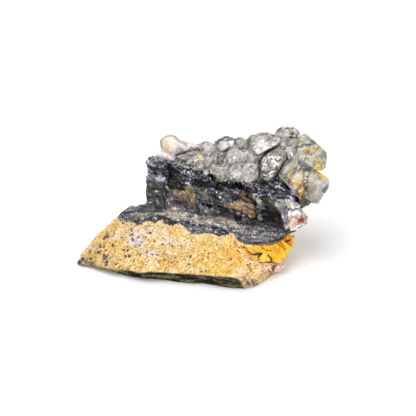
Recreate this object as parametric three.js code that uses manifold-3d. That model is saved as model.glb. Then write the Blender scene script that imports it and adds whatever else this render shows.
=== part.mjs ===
// Hand specimen: a wall of galena on a slab of ochre sandstone, topped by a druse of glassy crystals.
// Millimetres. X runs to the right along the front of the wall, Y to the back and Z up.
import * as THREE from 'three';
import { ConvexGeometry } from 'three/addons/geometries/ConvexGeometry.js';
import { mergeVertices } from 'three/addons/utils/BufferGeometryUtils.js';
import Module from 'manifold-3d';

const wasm = await Module();
wasm.setup();

// Driving dimensions
const GAP = 0.3; // between neighbouring pieces that do not touch flat face to flat face
const CONTACT_Z = 12; // flat top of the sandstone, on which the galena grew
const SLAB_BACK_Y = 22.5; // rear edge of the sandstone's top
const WALL_BACK_Y = 20.5; // rear edge of the galena's top

const radians = THREE.MathUtils.degToRad;

// A closed geometry as a solid that can be joined and cut.
function solidFrom(geometry) {
  const bare = geometry.clone();
  bare.deleteAttribute('normal');
  bare.deleteAttribute('uv');
  const merged = mergeVertices(bare, 1e-4);
  const mesh = new wasm.Mesh({
    numProp: 3,
    vertProperties: new Float32Array(merged.attributes.position.array),
    triVerts: new Uint32Array(merged.index.array),
  });
  return new wasm.Manifold(mesh);
}

function joined(solids) {
  return solids.reduce((whole, solid) => whole.add(solid));
}

function cutBy(solid, cutters) {
  return cutters.reduce((rest, cutter) => rest.subtract(cutter), solid);
}

// The convex body around a list of [x, y, z] points.
function hull(points) {
  return solidFrom(new ConvexGeometry(points.map(([x, y, z]) => new THREE.Vector3(x, y, z))));
}

// A body that runs through sections: one convex length between each section and the next.
function bodyThrough(sections) {
  const lengths = [];
  for (let i = 0; i + 1 < sections.length; i += 1) {
    lengths.push(hull([...sections[i], ...sections[i + 1]]));
  }
  return joined(lengths);
}

function placement({ at, turn = [0, 0, 0] }) {
  const matrix = new THREE.Matrix4().makeRotationFromEuler(new THREE.Euler(...turn.map(radians)));
  return matrix.setPosition(...at);
}

// A cleavage block of galena: half its length, depth and height, at a place, turned in degrees.
function block(at, half, turn) {
  const box = new THREE.BoxGeometry(half[0] * 2, half[1] * 2, half[2] * 2);
  return solidFrom(box.applyMatrix4(placement({ at, turn })));
}

// A crystal: a block with its eight corners cut off. With `grow` it is the socket around the crystal.
function crystal(spec, grow = 0) {
  const [a, b, c] = spec.half.map((side) => side + grow);
  const corner = spec.corner + grow;
  const points = [];
  for (const sx of [-1, 1]) {
    for (const sy of [-1, 1]) {
      for (const sz of [-1, 1]) {
        points.push(new THREE.Vector3(sx * (a - corner), sy * b, sz * c));
        points.push(new THREE.Vector3(sx * a, sy * (b - corner), sz * c));
        points.push(new THREE.Vector3(sx * a, sy * b, sz * (c - corner)));
      }
    }
  }
  const matrix = placement(spec);
  return solidFrom(new ConvexGeometry(points.map((point) => point.applyMatrix4(matrix))));
}

const socket = (spec) => crystal(spec, GAP);

// Sandstone slab: it thins to a tip on the left, slopes up to the galena and has an undercut foot.
// Rows: x, foot y, front edge y and z, top front y and z, top back y, spread of the back foot.
const SLAB_ROWS = [
  [-42.0, -19.8, -20.6, 1.0, -17.0, 1.6, -13.0, 1],
  [-40.6, -19.6, -21.6, 1.6, -13.0, 2.8, -9.0, 3],
  [-38.4, -19.6, -22.0, 1.9, -8.6, 5.0, -3.4, 6],
  [-35.8, -19.6, -22.2, 2.0, -6.6, 7.6, -2.0, 8],
  [-33.0, -19.8, -22.8, 2.4, -5.4, 10.2, -1.0, 9],
  [-30.5, -20.0, -23.2, 2.6, -5.5, CONTACT_Z, 3.4, 9],
  [-26.6, -21.0, -24.0, 3.0, -6.4, CONTACT_Z, 7.0, 9],
  [-24.4, -21.6, -24.0, 3.3, -6.8, CONTACT_Z, 9.0, 9],
  [-23.4, -21.8, -24.1, 3.5, -7.0, CONTACT_Z, 18.0, 2],
  [-15.0, -21.8, -24.9, 4.5, -6.2, CONTACT_Z, SLAB_BACK_Y, 1],
  [-6.3, -20.8, -22.4, 4.5, -6.1, CONTACT_Z, SLAB_BACK_Y + 0.8, 1],
  [0.0, -20.6, -21.6, 4.5, -6.3, CONTACT_Z, SLAB_BACK_Y + 0.4, 1],
  [5.2, -19.2, -20.6, 4.5, -6.1, CONTACT_Z, SLAB_BACK_Y, 1],
  [10.0, -19.0, -20.4, 4.5, -5.6, CONTACT_Z, SLAB_BACK_Y, 1],
  [15.5, -19.0, -20.2, 4.6, -6.0, CONTACT_Z, SLAB_BACK_Y, 1],
  [20.0, -18.8, -20.0, 4.4, -5.6, CONTACT_Z, SLAB_BACK_Y, 1],
  [23.5, -16.2, -17.4, 3.6, -4.4, CONTACT_Z, SLAB_BACK_Y - 0.5, 1],
  [26.4, -11.4, -12.6, 3.4, -2.4, CONTACT_Z, 15.0, 1],
  [28.4, -6.0, -7.4, 4.4, 0.6, CONTACT_Z, 8.0, 0.5],
];
// Its right end, which overhangs the foot.
const SLAB_END = [[30.4, -1.6, 7.0], [31.2, 3.0, CONTACT_Z], [31.2, 5.0, CONTACT_Z], [30.4, 4.4, 7.0]];
const slabSection = ([x, footY, edgeY, edgeZ, topY, topZ, backY, spread]) => [
  [x, footY, 0],
  [x, edgeY, edgeZ],
  [x, topY, topZ],
  [x, backY, topZ],
  [x, backY + spread, 0],
];

// Ochre crust: a plate that hangs over the slab's right front corner.
// Rows: x, lower front y and z, upper front y and z, and the same two points on its underside.
const CRUST_ROWS = [
  [15.4, -10.6, 10.8, -7.6, 12.4, -9.6, 9.2, -6.6, 11.2],
  [18.5, -12.8, 10.4, -8.6, 12.8, -11.2, 8.4, -6.8, 11.0],
  [22.0, -13.6, 9.4, -8.0, 12.8, -11.4, 7.4, -5.8, 10.6],
  [25.6, -12.4, 7.6, -6.2, 12.8, -9.8, 5.6, -3.8, 10.4],
  [28.6, -9.8, 6.0, -3.6, 12.6, -7.0, 4.4, -1.4, 10.2],
  [31.0, -7.4, 5.8, -0.6, 12.6, -4.2, 4.8, 1.2, 10.0],
  [33.2, -1.8, 9.6, 1.8, 12.6, -0.2, 8.8, 3.6, 11.0],
];
const crustSection = ([x, ...points]) => [0, 2, 4, 6].map((i) => [x, points[i], points[i + 1]]);

// Galena ledge in front of the wall. Rows: x, front y and its height, foot y and height, back y.
const LEDGE_ROWS = [
  [-31.2, -3.6, 12.5, -0.5, 12.7, 1.6],
  [-29.2, -7.0, 13.0, 2.0, 13.2, 5.6],
  [-25.4, -6.4, 13.4, 2.6, 13.8, 8.4],
  [-22.4, -6.8, 13.6, 3.0, 14.2, 17.0],
  [-17.4, -5.6, 13.2, 3.6, 14.4, WALL_BACK_Y],
  [-9.1, -5.4, 13.0, 6.0, 14.4, WALL_BACK_Y + 1],
  [-1.6, -7.6, 12.8, 5.0, 14.0, WALL_BACK_Y + 1],
  [5.0, -6.0, 12.8, 7.0, 13.6, WALL_BACK_Y + 0.6],
  [11.9, -4.2, 12.8, 6.0, 13.2, WALL_BACK_Y],
  [16.5, -6.4, 12.8, 5.0, 13.0, WALL_BACK_Y],
  [23.7, -6.6, 12.8, 4.0, 13.0, WALL_BACK_Y],
  [27.8, -3.6, 12.6, 4.0, 13.0, 14.0],
  [31.4, 2.4, 12.4, 4.4, 13.0, 6.0],
];
const ledgeSection = ([x, frontY, frontZ, footY, footZ, backY]) => [
  [x, frontY, CONTACT_Z],
  [x, frontY + 0.6, frontZ],
  [x, footY, footZ],
  [x, backY, footZ],
  [x, backY, CONTACT_Z],
];

// Core of the galena wall, at the depth of its hollows.
// Rows: x, foot y and z, top front y and z, back y, top z.
const WALL_ROWS = [
  [-22.4, 3.2, 12.5, 4.4, 31.0, 15.0, 32.0],
  [-17.0, 4.6, 12.5, 5.0, 31.6, 19.0, 33.0],
  [-14.6, 9.6, 12.5, 7.0, 31.6, WALL_BACK_Y, 33.5],
  [-10.0, 9.0, 12.5, 7.0, 31.6, WALL_BACK_Y, 34.0],
  [-5.0, 6.8, 12.5, 6.0, 31.6, WALL_BACK_Y, 35.0],
  [0.0, 6.6, 12.5, 6.4, 30.0, WALL_BACK_Y, 35.0],
  [4.7, 8.3, 12.5, 6.8, 28.6, WALL_BACK_Y, 36.0],
  [10.0, 7.0, 12.5, 6.4, 29.0, WALL_BACK_Y, 37.0],
  [16.0, 6.6, 12.5, 6.2, 30.0, WALL_BACK_Y, 37.0],
  [20.5, 9.0, 12.5, 6.2, 31.0, WALL_BACK_Y, 37.0],
  [25.5, 9.6, 12.5, 6.0, 31.4, 18.0, 36.0],
  [29.5, 4.6, 13.0, 5.0, 31.0, 16.0, 35.0],
  [33.0, 4.6, 19.0, 6.0, 30.0, 15.0, 34.0],
  [37.4, 7.0, 24.5, 7.6, 29.0, 14.0, 33.0],
];
const wallSection = ([x, footY, footZ, topY, topZ, backY, backZ]) => [
  [x, footY, footZ],
  [x, topY, topZ],
  [x, backY, backZ],
  [x, backY + 0.5, footZ],
];

// Brow: the granular band that overhangs the hollows. Rows: x, lower z, upper z, front y, back y.
const BROW_ROWS = [
  [-16.4, 29.4, 34.4, 4.6, 11],
  [-13.4, 28.2, 33.4, 4.0, 11],
  [-9.9, 24.2, 33.2, 3.6, 10],
  [-6.0, 23.6, 32.8, 3.6, 9],
  [-2.6, 22.2, 31.4, 3.8, 9],
  [0.6, 19.6, 30.8, 4.0, 9],
  [2.8, 17.6, 28.4, 4.6, 9],
];
// The toothed band over the cave, on the right.
const TEETH_ROWS = [
  [17.4, 23.6, 29.6, 4.6, 9],
  [20.6, 22.6, 31.4, 3.8, 9],
  [24.4, 21.4, 31.6, 3.4, 9],
  [28.6, 20.6, 30.6, 3.2, 9],
  [32.6, 21.6, 27.6, 4.0, 9],
];
const bandSection = ([x, lowerZ, upperZ, frontY, backY]) => [
  [x, frontY + 0.8, lowerZ],
  [x, frontY, lowerZ + 1.6],
  [x, frontY, upperZ - 1],
  [x, frontY + 1, upperZ],
  [x, backY, upperZ],
  [x, backY, lowerZ],
];

// Cleavage blocks that stand out of the core. Each: place, half sizes, turn in degrees.
const WALL_BLOCKS = [
  // the pillar at the left end, its neck and its head
  [[-19.4, 6.4, 19.4], [3.2, 3.6, 6.8], [0, 0, 2]],
  [[-19.0, 6.8, 26.8], [3.2, 3.6, 1.6], [-4, 3, -3]],
  [[-19.2, 6.6, 30.5], [3.2, 3.7, 3.6], [4, -3, 3]],
  [[-17.4, 6.8, 32.2], [2.2, 3.2, 1.8], [0, 20, 10]],
  // flat plates under the brow
  [[-2.4, 6.2, 19.6], [3.4, 2.0, 1.5], [12, 14, 4]],
  [[1.2, 6.4, 17.0], [4.0, 2.2, 0.8], [6, 8, -6]],
  [[0.6, 6.0, 15.0], [3.2, 2.2, 0.9], [-4, 4, 8]],
  // the second chunk, in the middle of the wall
  [[7.2, 6.6, 22.8], [3.8, 2.6, 4.0], [4, 14, -4]],
  [[10.6, 6.6, 20.2], [2.4, 2.2, 2.2], [0, 24, 10]],
  // strata to the right of it
  [[14.0, 7.0, 25.4], [3.6, 2.2, 0.8], [8, 12, 0]],
  [[14.6, 6.8, 22.8], [3.2, 2.2, 0.7], [4, 16, 4]],
  [[15.0, 7.2, 20.4], [2.6, 2.0, 0.7], [0, 18, -4]],
  // the buttress at the right end of the wall
  [[30.4, 5.6, 17.2], [2.0, 3.0, 4.6], [0, -10, 8]],
  [[32.2, 5.4, 22.0], [2.4, 2.6, 2.8], [6, 12, 14]],
  // steps on the back and on the left end
  [[-14.0, 19.6, 20.0], [6.0, 2.2, 6.4], [0, 0, 4]],
  [[0.0, 20.4, 24.0], [7.0, 1.6, 7.0], [0, 0, -3]],
  [[13.0, 20.0, 21.0], [5.4, 2.0, 6.0], [0, 4, 2]],
];

// Crystals that grew into each other and are one piece: the druse.
const DRUSE_CRYSTALS = [
  { at: [-9.6, 12.0, 32.8], half: [3.6, 3.4, 3.0], turn: [20, 14, 24], corner: 1.6 },
  { at: [-5.4, 15.2, 32.2], half: [3.8, 3.4, 3.0], turn: [24, -12, 12], corner: 1.8 },
  { at: [-4.6, 9.2, 33.4], half: [4.4, 3.4, 3.2], turn: [32, 20, 8], corner: 1.6 },
  { at: [0.4, 12.0, 34.3], half: [4.0, 3.8, 3.4], turn: [28, 30, 20], corner: 1.6 },
  { at: [4.2, 15.6, 35.4], half: [4.0, 3.6, 3.6], turn: [30, 10, 38], corner: 1.9 },
  { at: [8.0, 15.4, 36.0], half: [3.0, 3.2, 3.4], turn: [12, -20, 20], corner: 1.6 },
  { at: [3.4, 7.6, 31.2], half: [4.2, 3.2, 2.8], turn: [38, 8, -10], corner: 1.4 },
  { at: [8.6, 10.6, 34.0], half: [4.6, 4.0, 3.2], turn: [34, -14, 30], corner: 1.6 },
  { at: [12.6, 6.8, 31.2], half: [3.6, 3.0, 2.2], turn: [30, 16, -24], corner: 1.2 },
  { at: [14.6, 7.8, 32.8], half: [4.6, 3.6, 3.4], turn: [36, -10, 14], corner: 1.6 },
  { at: [16.8, 12.8, 37.4], half: [6.0, 5.2, 4.4], turn: [34, -18, 26], corner: 2.0 },
  { at: [22.4, 15.2, 37.4], half: [4.6, 4.4, 4.4], turn: [20, 26, 10], corner: 1.9 },
  { at: [-2.0, 18.6, 31.8], half: [4.4, 3.4, 3.0], turn: [-14, 12, 30], corner: 1.6 },
  { at: [12.0, 18.6, 34.8], half: [5.0, 3.6, 4.0], turn: [-18, -10, 12], corner: 1.8 },
  { at: [19.4, 18.4, 37.2], half: [4.4, 3.6, 4.0], turn: [-16, 14, 40], corner: 1.8 },
];

// Crystals that stand alone, each its own piece.
const CLEAR_CRYSTAL = { at: [23.2, 8.0, 37.4], half: [4.0, 4.4, 4.8], turn: [12, 28, -4], corner: 1.6 };
const BACK_TOP_CRYSTAL = { at: [26.2, 17.6, 40.8], half: [4.3, 4.6, 3.8], turn: [-18, 6, 8], corner: 1.8 };
const RIGHT_TOP_CRYSTAL = { at: [34.8, 12.6, 39.7], half: [4.4, 5.0, 5.9], turn: [12, -50, 24], corner: 2.0 };
const STREAKED_CRYSTAL = { at: [30.8, 7.4, 33.2], half: [3.4, 3.4, 5.8], turn: [22, -16, 14], corner: 1.5 };
const MILKY_CRYSTAL = { at: [39.8, 8.4, 29.4], half: [3.3, 3.9, 4.4], turn: [-8, 12, 24], corner: 1.4 };
const RED_CRYSTAL = { at: [34.2, 3.0, 19.5], half: [2.7, 2.4, 3.4], turn: [4, -10, -16], corner: 1.0 };
const PINK_CRYSTAL = { at: [29.4, -5.4, 3.0], half: [1.5, 1.4, 1.6], turn: [20, 30, 20], corner: 0.6 };
const PALE_CRYSTAL = { at: [18.7, 5.4, 22.7], half: [1.2, 1.2, 2.3], turn: [10, -34, 14], corner: 0.5 };

// White calcite knob on the left: a round head with a tail to the right and a foot on the pillar.
const KNOB_PARTS = [
  { at: [-15.5, 10.4, 36.3], half: [3.2, 3.3, 3.4], turn: [18, 10, 24], corner: 1.7 },
  { at: [-11.4, 11.4, 34.6], half: [3.4, 2.8, 2.6], turn: [10, 24, 10], corner: 1.3 },
  { at: [-16.2, 8.0, 34.4], half: [3.4, 2.6, 1.5], turn: [-14, 20, 12], corner: 0.8 },
];

// One whole piece: its largest body, with the pockets sealed inside it filled.
function whole(solid) {
  const byVolume = (one, other) => other.volume() - one.volume();
  const [body] = solid.decompose().sort(byVolume);
  const surroundings = solidFrom(new THREE.BoxGeometry(300, 300, 300)).subtract(body);
  const [, ...pockets] = surroundings.decompose().sort(byVolume);
  return joined([body, ...pockets]);
}

// The room that a piece and the crack around it take out of a neighbour.
function roomFor(solid) {
  const steps = [-GAP, 0, GAP];
  const shifts = steps.flatMap((x) => steps.flatMap((y) => steps.map((z) => [x, y, z])));
  return joined(shifts.map((shift) => solid.translate(shift)));
}

function makeSlab() {
  return cutBy(bodyThrough([...SLAB_ROWS.map(slabSection), SLAB_END]), [socket(PINK_CRYSTAL)]);
}

function makeCrust(slab) {
  return cutBy(bodyThrough(CRUST_ROWS.map(crustSection)), [roomFor(slab), socket(PINK_CRYSTAL)]);
}

function makeGalena(crust, crystals) {
  const body = joined([
    bodyThrough(LEDGE_ROWS.map(ledgeSection)),
    bodyThrough(WALL_ROWS.map(wallSection)),
    bodyThrough(BROW_ROWS.map(bandSection)),
    bodyThrough(TEETH_ROWS.map(bandSection)),
    ...WALL_BLOCKS.map(([at, half, turn]) => block(at, half, turn)),
  ]);
  const belowContact = new THREE.BoxGeometry(200, 200, CONTACT_Z).translate(0, 0, CONTACT_Z / 2);
  return cutBy(body, [solidFrom(belowContact), roomFor(crust), ...crystals.map(socket)]);
}

// A crystal, or several grown into one, kept clear of the crystals in `before`.
function makeCrystals(specs, before) {
  return cutBy(joined(specs.map((spec) => crystal(spec))), before.map(socket));
}

// Colour, roughness and metalness of each mineral.
const SANDSTONE = { color: 0xd9ac52, roughness: 0.95, metalness: 0 };
const OCHRE = { color: 0xe9ac2c, roughness: 0.9, metalness: 0 };
const GALENA = { color: 0x54545c, roughness: 0.42, metalness: 0.9 };
const GREY_CRYSTAL = { color: 0xa79f95, roughness: 0.15, metalness: 0 };
const CLEAR = { color: 0xc9c8bf, roughness: 0.05, metalness: 0 };
const YELLOW_STREAKED = { color: 0xb9a565, roughness: 0.15, metalness: 0 };
const MILKY = { color: 0xc0b6a8, roughness: 0.25, metalness: 0 };
const WHITE_CALCITE = { color: 0xe8dfd8, roughness: 0.3, metalness: 0 };
const RED_STAINED = { color: 0xc4603c, roughness: 0.2, metalness: 0 };
const PINK = { color: 0xd0a8b8, roughness: 0.25, metalness: 0 };
const PALE = { color: 0xd6cfa2, roughness: 0.25, metalness: 0 };

const specimen = new THREE.Group();
specimen.name = 'galena_specimen';

function addPiece(name, solid, look) {
  const { vertProperties, triVerts } = whole(solid).getMesh();
  const geometry = new THREE.BufferGeometry();
  geometry.setAttribute('position', new THREE.BufferAttribute(vertProperties, 3));
  geometry.setIndex(new THREE.BufferAttribute(triVerts, 1));
  const faceted = geometry.toNonIndexed();
  faceted.computeVertexNormals();
  const piece = new THREE.Mesh(faceted, new THREE.MeshStandardMaterial(look));
  piece.name = name;
  specimen.add(piece);
}

const loneCrystals = [
  CLEAR_CRYSTAL,
  RIGHT_TOP_CRYSTAL,
  MILKY_CRYSTAL,
  STREAKED_CRYSTAL,
  BACK_TOP_CRYSTAL,
  RED_CRYSTAL,
  PALE_CRYSTAL,
  PINK_CRYSTAL,
];
const everyCrystal = [...loneCrystals, ...KNOB_PARTS, ...DRUSE_CRYSTALS];
const slab = makeSlab();
const crust = makeCrust(slab);

addPiece('sandstone_matrix', slab, SANDSTONE);
addPiece('ochre_crust', crust, OCHRE);
addPiece('galena_mass', makeGalena(crust, everyCrystal), GALENA);
addPiece('white_calcite_knob', makeCrystals(KNOB_PARTS, []), WHITE_CALCITE);
addPiece('crystal_druse', makeCrystals(DRUSE_CRYSTALS, [...loneCrystals, ...KNOB_PARTS]), GREY_CRYSTAL);
addPiece('clear_crystal', makeCrystals([CLEAR_CRYSTAL], []), CLEAR);
addPiece('right_top_crystal', makeCrystals([RIGHT_TOP_CRYSTAL], [CLEAR_CRYSTAL]), GREY_CRYSTAL);
addPiece('milky_crystal', makeCrystals([MILKY_CRYSTAL], [RIGHT_TOP_CRYSTAL]), MILKY);
addPiece(
  'streaked_crystal',
  makeCrystals([STREAKED_CRYSTAL], [CLEAR_CRYSTAL, RIGHT_TOP_CRYSTAL, MILKY_CRYSTAL]),
  YELLOW_STREAKED,
);
addPiece(
  'back_top_crystal',
  makeCrystals([BACK_TOP_CRYSTAL], [CLEAR_CRYSTAL, RIGHT_TOP_CRYSTAL]),
  GREY_CRYSTAL,
);
addPiece('red_stained_crystal', makeCrystals([RED_CRYSTAL], []), RED_STAINED);
addPiece('pale_wall_crystal', makeCrystals([PALE_CRYSTAL], []), PALE);
addPiece('pink_crystal', makeCrystals([PINK_CRYSTAL], []), PINK);

// The origin is the middle of the specimen's footprint box, on the surface that it rests on.
const bounds = new THREE.Box3().setFromObject(specimen);
const middle = bounds.getCenter(new THREE.Vector3());
specimen.position.set(-middle.x, -middle.y, -bounds.min.z);

export default specimen;
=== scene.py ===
"""Looks of the galena specimen: rough sandstone, sparkling galena and glassy crystals on the CAD frame.

The specimen's own coordinates, in millimetres, are those of the construction: x to the right along
the wall of galena, y to the back, z up. Markings are placed by outlines drawn in pixels of the
416-pixel view from the camera below, and are carried onto the surface that is seen there.
"""

import math

import bmesh
import bpy
import numpy as np
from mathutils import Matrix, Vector
from mathutils.bvhtree import BVHTree


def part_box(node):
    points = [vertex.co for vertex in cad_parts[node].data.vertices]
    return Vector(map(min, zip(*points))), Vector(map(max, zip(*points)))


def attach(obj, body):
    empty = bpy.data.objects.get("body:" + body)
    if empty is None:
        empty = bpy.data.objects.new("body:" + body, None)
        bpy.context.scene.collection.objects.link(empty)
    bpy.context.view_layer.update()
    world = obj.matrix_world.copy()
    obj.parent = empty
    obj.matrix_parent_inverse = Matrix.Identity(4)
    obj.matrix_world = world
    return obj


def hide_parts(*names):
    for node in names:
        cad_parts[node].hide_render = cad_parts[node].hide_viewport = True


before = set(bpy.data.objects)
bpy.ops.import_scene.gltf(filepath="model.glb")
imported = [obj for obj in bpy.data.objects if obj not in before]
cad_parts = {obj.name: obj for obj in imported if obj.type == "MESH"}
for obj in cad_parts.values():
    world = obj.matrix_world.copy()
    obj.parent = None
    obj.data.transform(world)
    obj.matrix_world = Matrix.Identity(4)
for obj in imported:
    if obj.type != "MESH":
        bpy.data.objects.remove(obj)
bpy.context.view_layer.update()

MM = 0.001
slab_low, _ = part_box("sandstone_matrix")
SLAB_TIP_X, SLAB_FRONT_Y = -42.0, -24.9
SHIFT = np.array([slab_low.x / MM - SLAB_TIP_X, slab_low.y / MM - SLAB_FRONT_Y, 0.0])
CONTACT_Z = 12.0  # height of the sandstone's top, where the galena begins
# Width of the small cubes that each piece's mesh is rebuilt from.
ROCK_VOXEL, CRUST_VOXEL, SEAM_VOXEL = 0.34, 0.26, 0.3
DRUSE_VOXEL, HEART_VOXEL, KNOB_VOXEL = 0.36, 0.31, 0.28

# ---------------------------------------------------------------- the view
PIXELS = 416
PIXEL_MM = 0.36
AZIMUTH, ELEVATION = math.radians(16), math.radians(30)
LENS, SENSOR = 120.0, 36.0
AIM = np.array([1.6, 0.45, 19.4])
RIGHT = np.array([math.cos(AZIMUTH), math.sin(AZIMUTH), 0.0])
BACK = np.array([
    math.sin(AZIMUTH) * math.cos(ELEVATION),
    -math.cos(AZIMUTH) * math.cos(ELEVATION),
    math.sin(ELEVATION),
])
UP = np.cross(BACK, RIGHT)
FOCAL_PIXELS = LENS / SENSOR * PIXELS
EYE = AIM + BACK * (FOCAL_PIXELS * PIXEL_MM)


def pixels_of(points):
    """Where points in the specimen's millimetres fall in the view, in pixels."""
    away = points - EYE
    depth = -(away @ BACK)
    across = PIXELS / 2 + FOCAL_PIXELS * (away @ RIGHT) / depth
    down = PIXELS / 2 - FOCAL_PIXELS * (away @ UP) / depth
    return np.stack([across, down], 1)


def ray_through(pixel):
    """Direction from the eye through a pixel."""
    across = (pixel[0] - PIXELS / 2) / FOCAL_PIXELS
    up = (PIXELS / 2 - pixel[1]) / FOCAL_PIXELS
    ray = RIGHT * across + UP * up - BACK
    return ray / np.linalg.norm(ray)


def across_view(right, up):
    """A direction that lies flat in the view: so far right, so far up."""
    way = RIGHT * right + UP * up
    return way / np.linalg.norm(way)


def spot_at(pixel, anchor, nearer=0.0):
    """The point seen at a pixel that is so many millimetres nearer to the eye than the anchor is."""
    ray = ray_through(pixel)
    return EYE + ray * ((nearer - (EYE - np.array(anchor)) @ BACK) / (ray @ BACK))


# ---------------------------------------------------------------- noise
# Large odd numbers that scatter the bits of a cell's whole numbers.
CELL_PRIMES, SEED_STEP = np.array([73856093, 19349663, 83492791]), 1013904223
BIT_SCATTER = np.uint64(0xFF51AFD7ED558CCD)


def hashed(cell, seed):
    """Three random numbers from 0 to 1 for each row of whole numbers."""
    key = cell.astype(np.int64) @ CELL_PRIMES + seed * SEED_STEP
    key = key.astype(np.uint64)
    numbers = []
    for _ in range(3):
        key = (key ^ (key >> np.uint64(33))) * BIT_SCATTER
        key = key ^ (key >> np.uint64(29))
        numbers.append((key >> np.uint64(40)).astype(float) / 2**24)
    return np.stack(numbers, 1)


def noise(points, size, seed=0, octaves=3):
    """Smooth noise from -1 to 1, with lumps of about `size` millimetres."""
    total = np.zeros(len(points))
    weight = 0.0
    for octave in range(octaves):
        spot = points / size * 2**octave
        low = np.floor(spot)
        part = spot - low
        part = part * part * (3 - 2 * part)
        value = np.zeros(len(points))
        for corner in np.ndindex(2, 2, 2):
            step = np.array(corner)
            share = np.prod(np.where(step, part, 1 - part), axis=1)
            value += share * hashed(low + step, seed + octave)[:, 0]
        total += (value * 2 - 1) * 0.5**octave
        weight += 0.5**octave
    return total / weight * 1.6


def drawn_out(points, way, length):
    """Points squeezed along one direction, so that noise taken there is drawn out that way."""
    return points - np.outer(points @ way, way) * (1 - 1 / length)


def grains(points, size, seed=0):
    """Cells about `size` millimetres wide: each point's cell centre, random numbers and way to the border."""
    spot = points / size
    low = np.floor(spot)
    nearest = np.full(len(spot), 9.0)
    second = nearest.copy()
    centre = np.zeros_like(spot)
    owner = np.zeros_like(spot)
    for corner in np.ndindex(3, 3, 3):
        cell = low + np.array(corner) - 1
        feature = cell + hashed(cell, seed)
        gap = np.linalg.norm(spot - feature, axis=1)
        nearer = gap < nearest
        second = np.where(nearer, nearest, np.minimum(second, gap))
        nearest = np.where(nearer, gap, nearest)
        centre[nearer] = feature[nearer]
        owner[nearer] = cell[nearer]
    return centre * size, hashed(owner, seed + 77), (second - nearest) * size


def turns(angles):
    """Rotation matrices for rows of three Euler angles."""
    cx, cy, cz = np.cos(angles).T
    sx, sy, sz = np.sin(angles).T
    return np.stack([
        np.stack([cy * cz, sx * sy * cz - cx * sz, cx * sy * cz + sx * sz], 1),
        np.stack([cy * sz, sx * sy * sz + cx * cz, cx * sy * sz - sx * cz], 1),
        np.stack([-sy, sx * cy, cx * cy], 1),
    ], 1)


def cleaved(points, grain, step, spread, amount, seed):
    """Points drawn to the steps of cubes, as galena breaks. Each grain has cube axes of its own."""
    centre, random, _ = grains(points, grain, seed)
    turn = turns((random - 0.5) * math.radians(spread))
    local = np.einsum("nij,nj->ni", turn, points - centre)
    local += (np.round(local / step) * step - local) * amount
    return centre + np.einsum("nji,nj->ni", turn, local)


def chipped(points, size, tilt, seed):
    """How far each point lies above its own chip's plane: flat chips of about `size`, tilted at random."""
    centre, random, _ = grains(points, size, seed)
    lean = (random - 0.5) * 2 * tilt
    return np.einsum("ni,ni->n", points - centre, lean)


# ---------------------------------------------------------------- outlines in the view
def rows(numbers, width=2):
    """A flat row of numbers as rows of a few: across and down, and for a crystal's corner how much nearer."""
    return np.array(numbers, float).reshape(-1, width)


def facing_eye(normals):
    """1 on surfaces that face the eye, 0 on those that are turned well away from it."""
    return np.clip(normals @ BACK * 3 + 0.8, 0, 1)


def strongest(masks):
    """The strongest of several masks at each point."""
    return np.max(list(masks), axis=0)


def inside(pixels, outline, soft=2.0):
    """1 well inside an outline of pixels, 0 well outside it, with a soft edge."""
    corners = rows(outline)
    near = np.all((pixels > corners.min(0) - soft) & (pixels < corners.max(0) + soft), axis=1)
    close = pixels[near]
    distance = np.full(len(close), 1e9)
    within = np.zeros(len(close), bool)
    for start, end in zip(corners, np.roll(corners, -1, 0)):
        side = end - start
        along = np.clip((close - start) @ side / (side @ side), 0, 1)
        gap = np.linalg.norm(close - start - along[:, None] * side, axis=1)
        distance = np.minimum(distance, gap)
        spans = (start[1] > close[:, 1]) != (end[1] > close[:, 1])
        rise = side[1] if side[1] else 1e-9
        crossing = start[0] + (close[:, 1] - start[1]) * side[0] / rise
        within ^= spans & (close[:, 0] < crossing)
    mask = np.zeros(len(pixels))
    mask[near] = np.clip(np.where(within, distance, -distance) / soft + 0.5, 0, 1)
    return mask


def along(pixels, line, width):
    """1 on a line of pixels, 0 from so many pixels beside it."""
    corners = rows(line)
    distance = np.full(len(pixels), 1e9)
    for start, end in zip(corners[:-1], corners[1:]):
        side = end - start
        share = np.clip((pixels - start) @ side / (side @ side), 0, 1)
        distance = np.minimum(distance, np.linalg.norm(pixels - start - share[:, None] * side, axis=1))
    return np.clip(1.5 - distance / width, 0, 1)


def random_in(outline, count, rng):
    """Random pixels inside an outline."""
    corners = rows(outline)
    low, high = corners.min(0), corners.max(0)
    tries = rng.uniform(low, high, (count * 8, 2))
    return tries[inside(tries, outline, 0.01) > 0.5][:count]


# ---------------------------------------------------------------- mesh helpers
def make_active(piece):
    """Selects one piece alone, for the operators that follow."""
    bpy.ops.object.select_all(action="DESELECT")
    piece.select_set(True)
    bpy.context.view_layer.objects.active = piece


def copy_of(node, name):
    """A copy of a CAD node's mesh, its corners merged, as a piece that can be reshaped."""
    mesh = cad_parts[node].data.copy()
    mesh.name = name
    mesh.materials.clear()
    shape = bmesh.new()
    shape.from_mesh(mesh)
    bmesh.ops.remove_doubles(shape, verts=shape.verts, dist=1e-6)
    shape.to_mesh(mesh)
    shape.free()
    piece = bpy.data.objects.new(name, mesh)
    bpy.context.scene.collection.objects.link(piece)
    return piece


def apply_modifier(piece, kind, **settings):
    """Adds a modifier with its settings, and makes its result the mesh."""
    modifier = piece.modifiers.new(kind.lower(), kind)
    for key, value in settings.items():
        setattr(modifier, key, value)
    make_active(piece)
    bpy.ops.object.modifier_apply(modifier=modifier.name)


def remesh(piece, voxel):
    """Rebuilds a mesh from cubes of so many millimetres, so that it can be roughened."""
    apply_modifier(piece, "REMESH", mode="VOXEL", voxel_size=voxel * MM, use_smooth_shade=False)


def points_of(piece):
    """The mesh's points in the specimen's millimetres."""
    flat = np.zeros(len(piece.data.vertices) * 3)
    piece.data.vertices.foreach_get("co", flat)
    return flat.reshape(-1, 3) / MM - SHIFT


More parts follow.
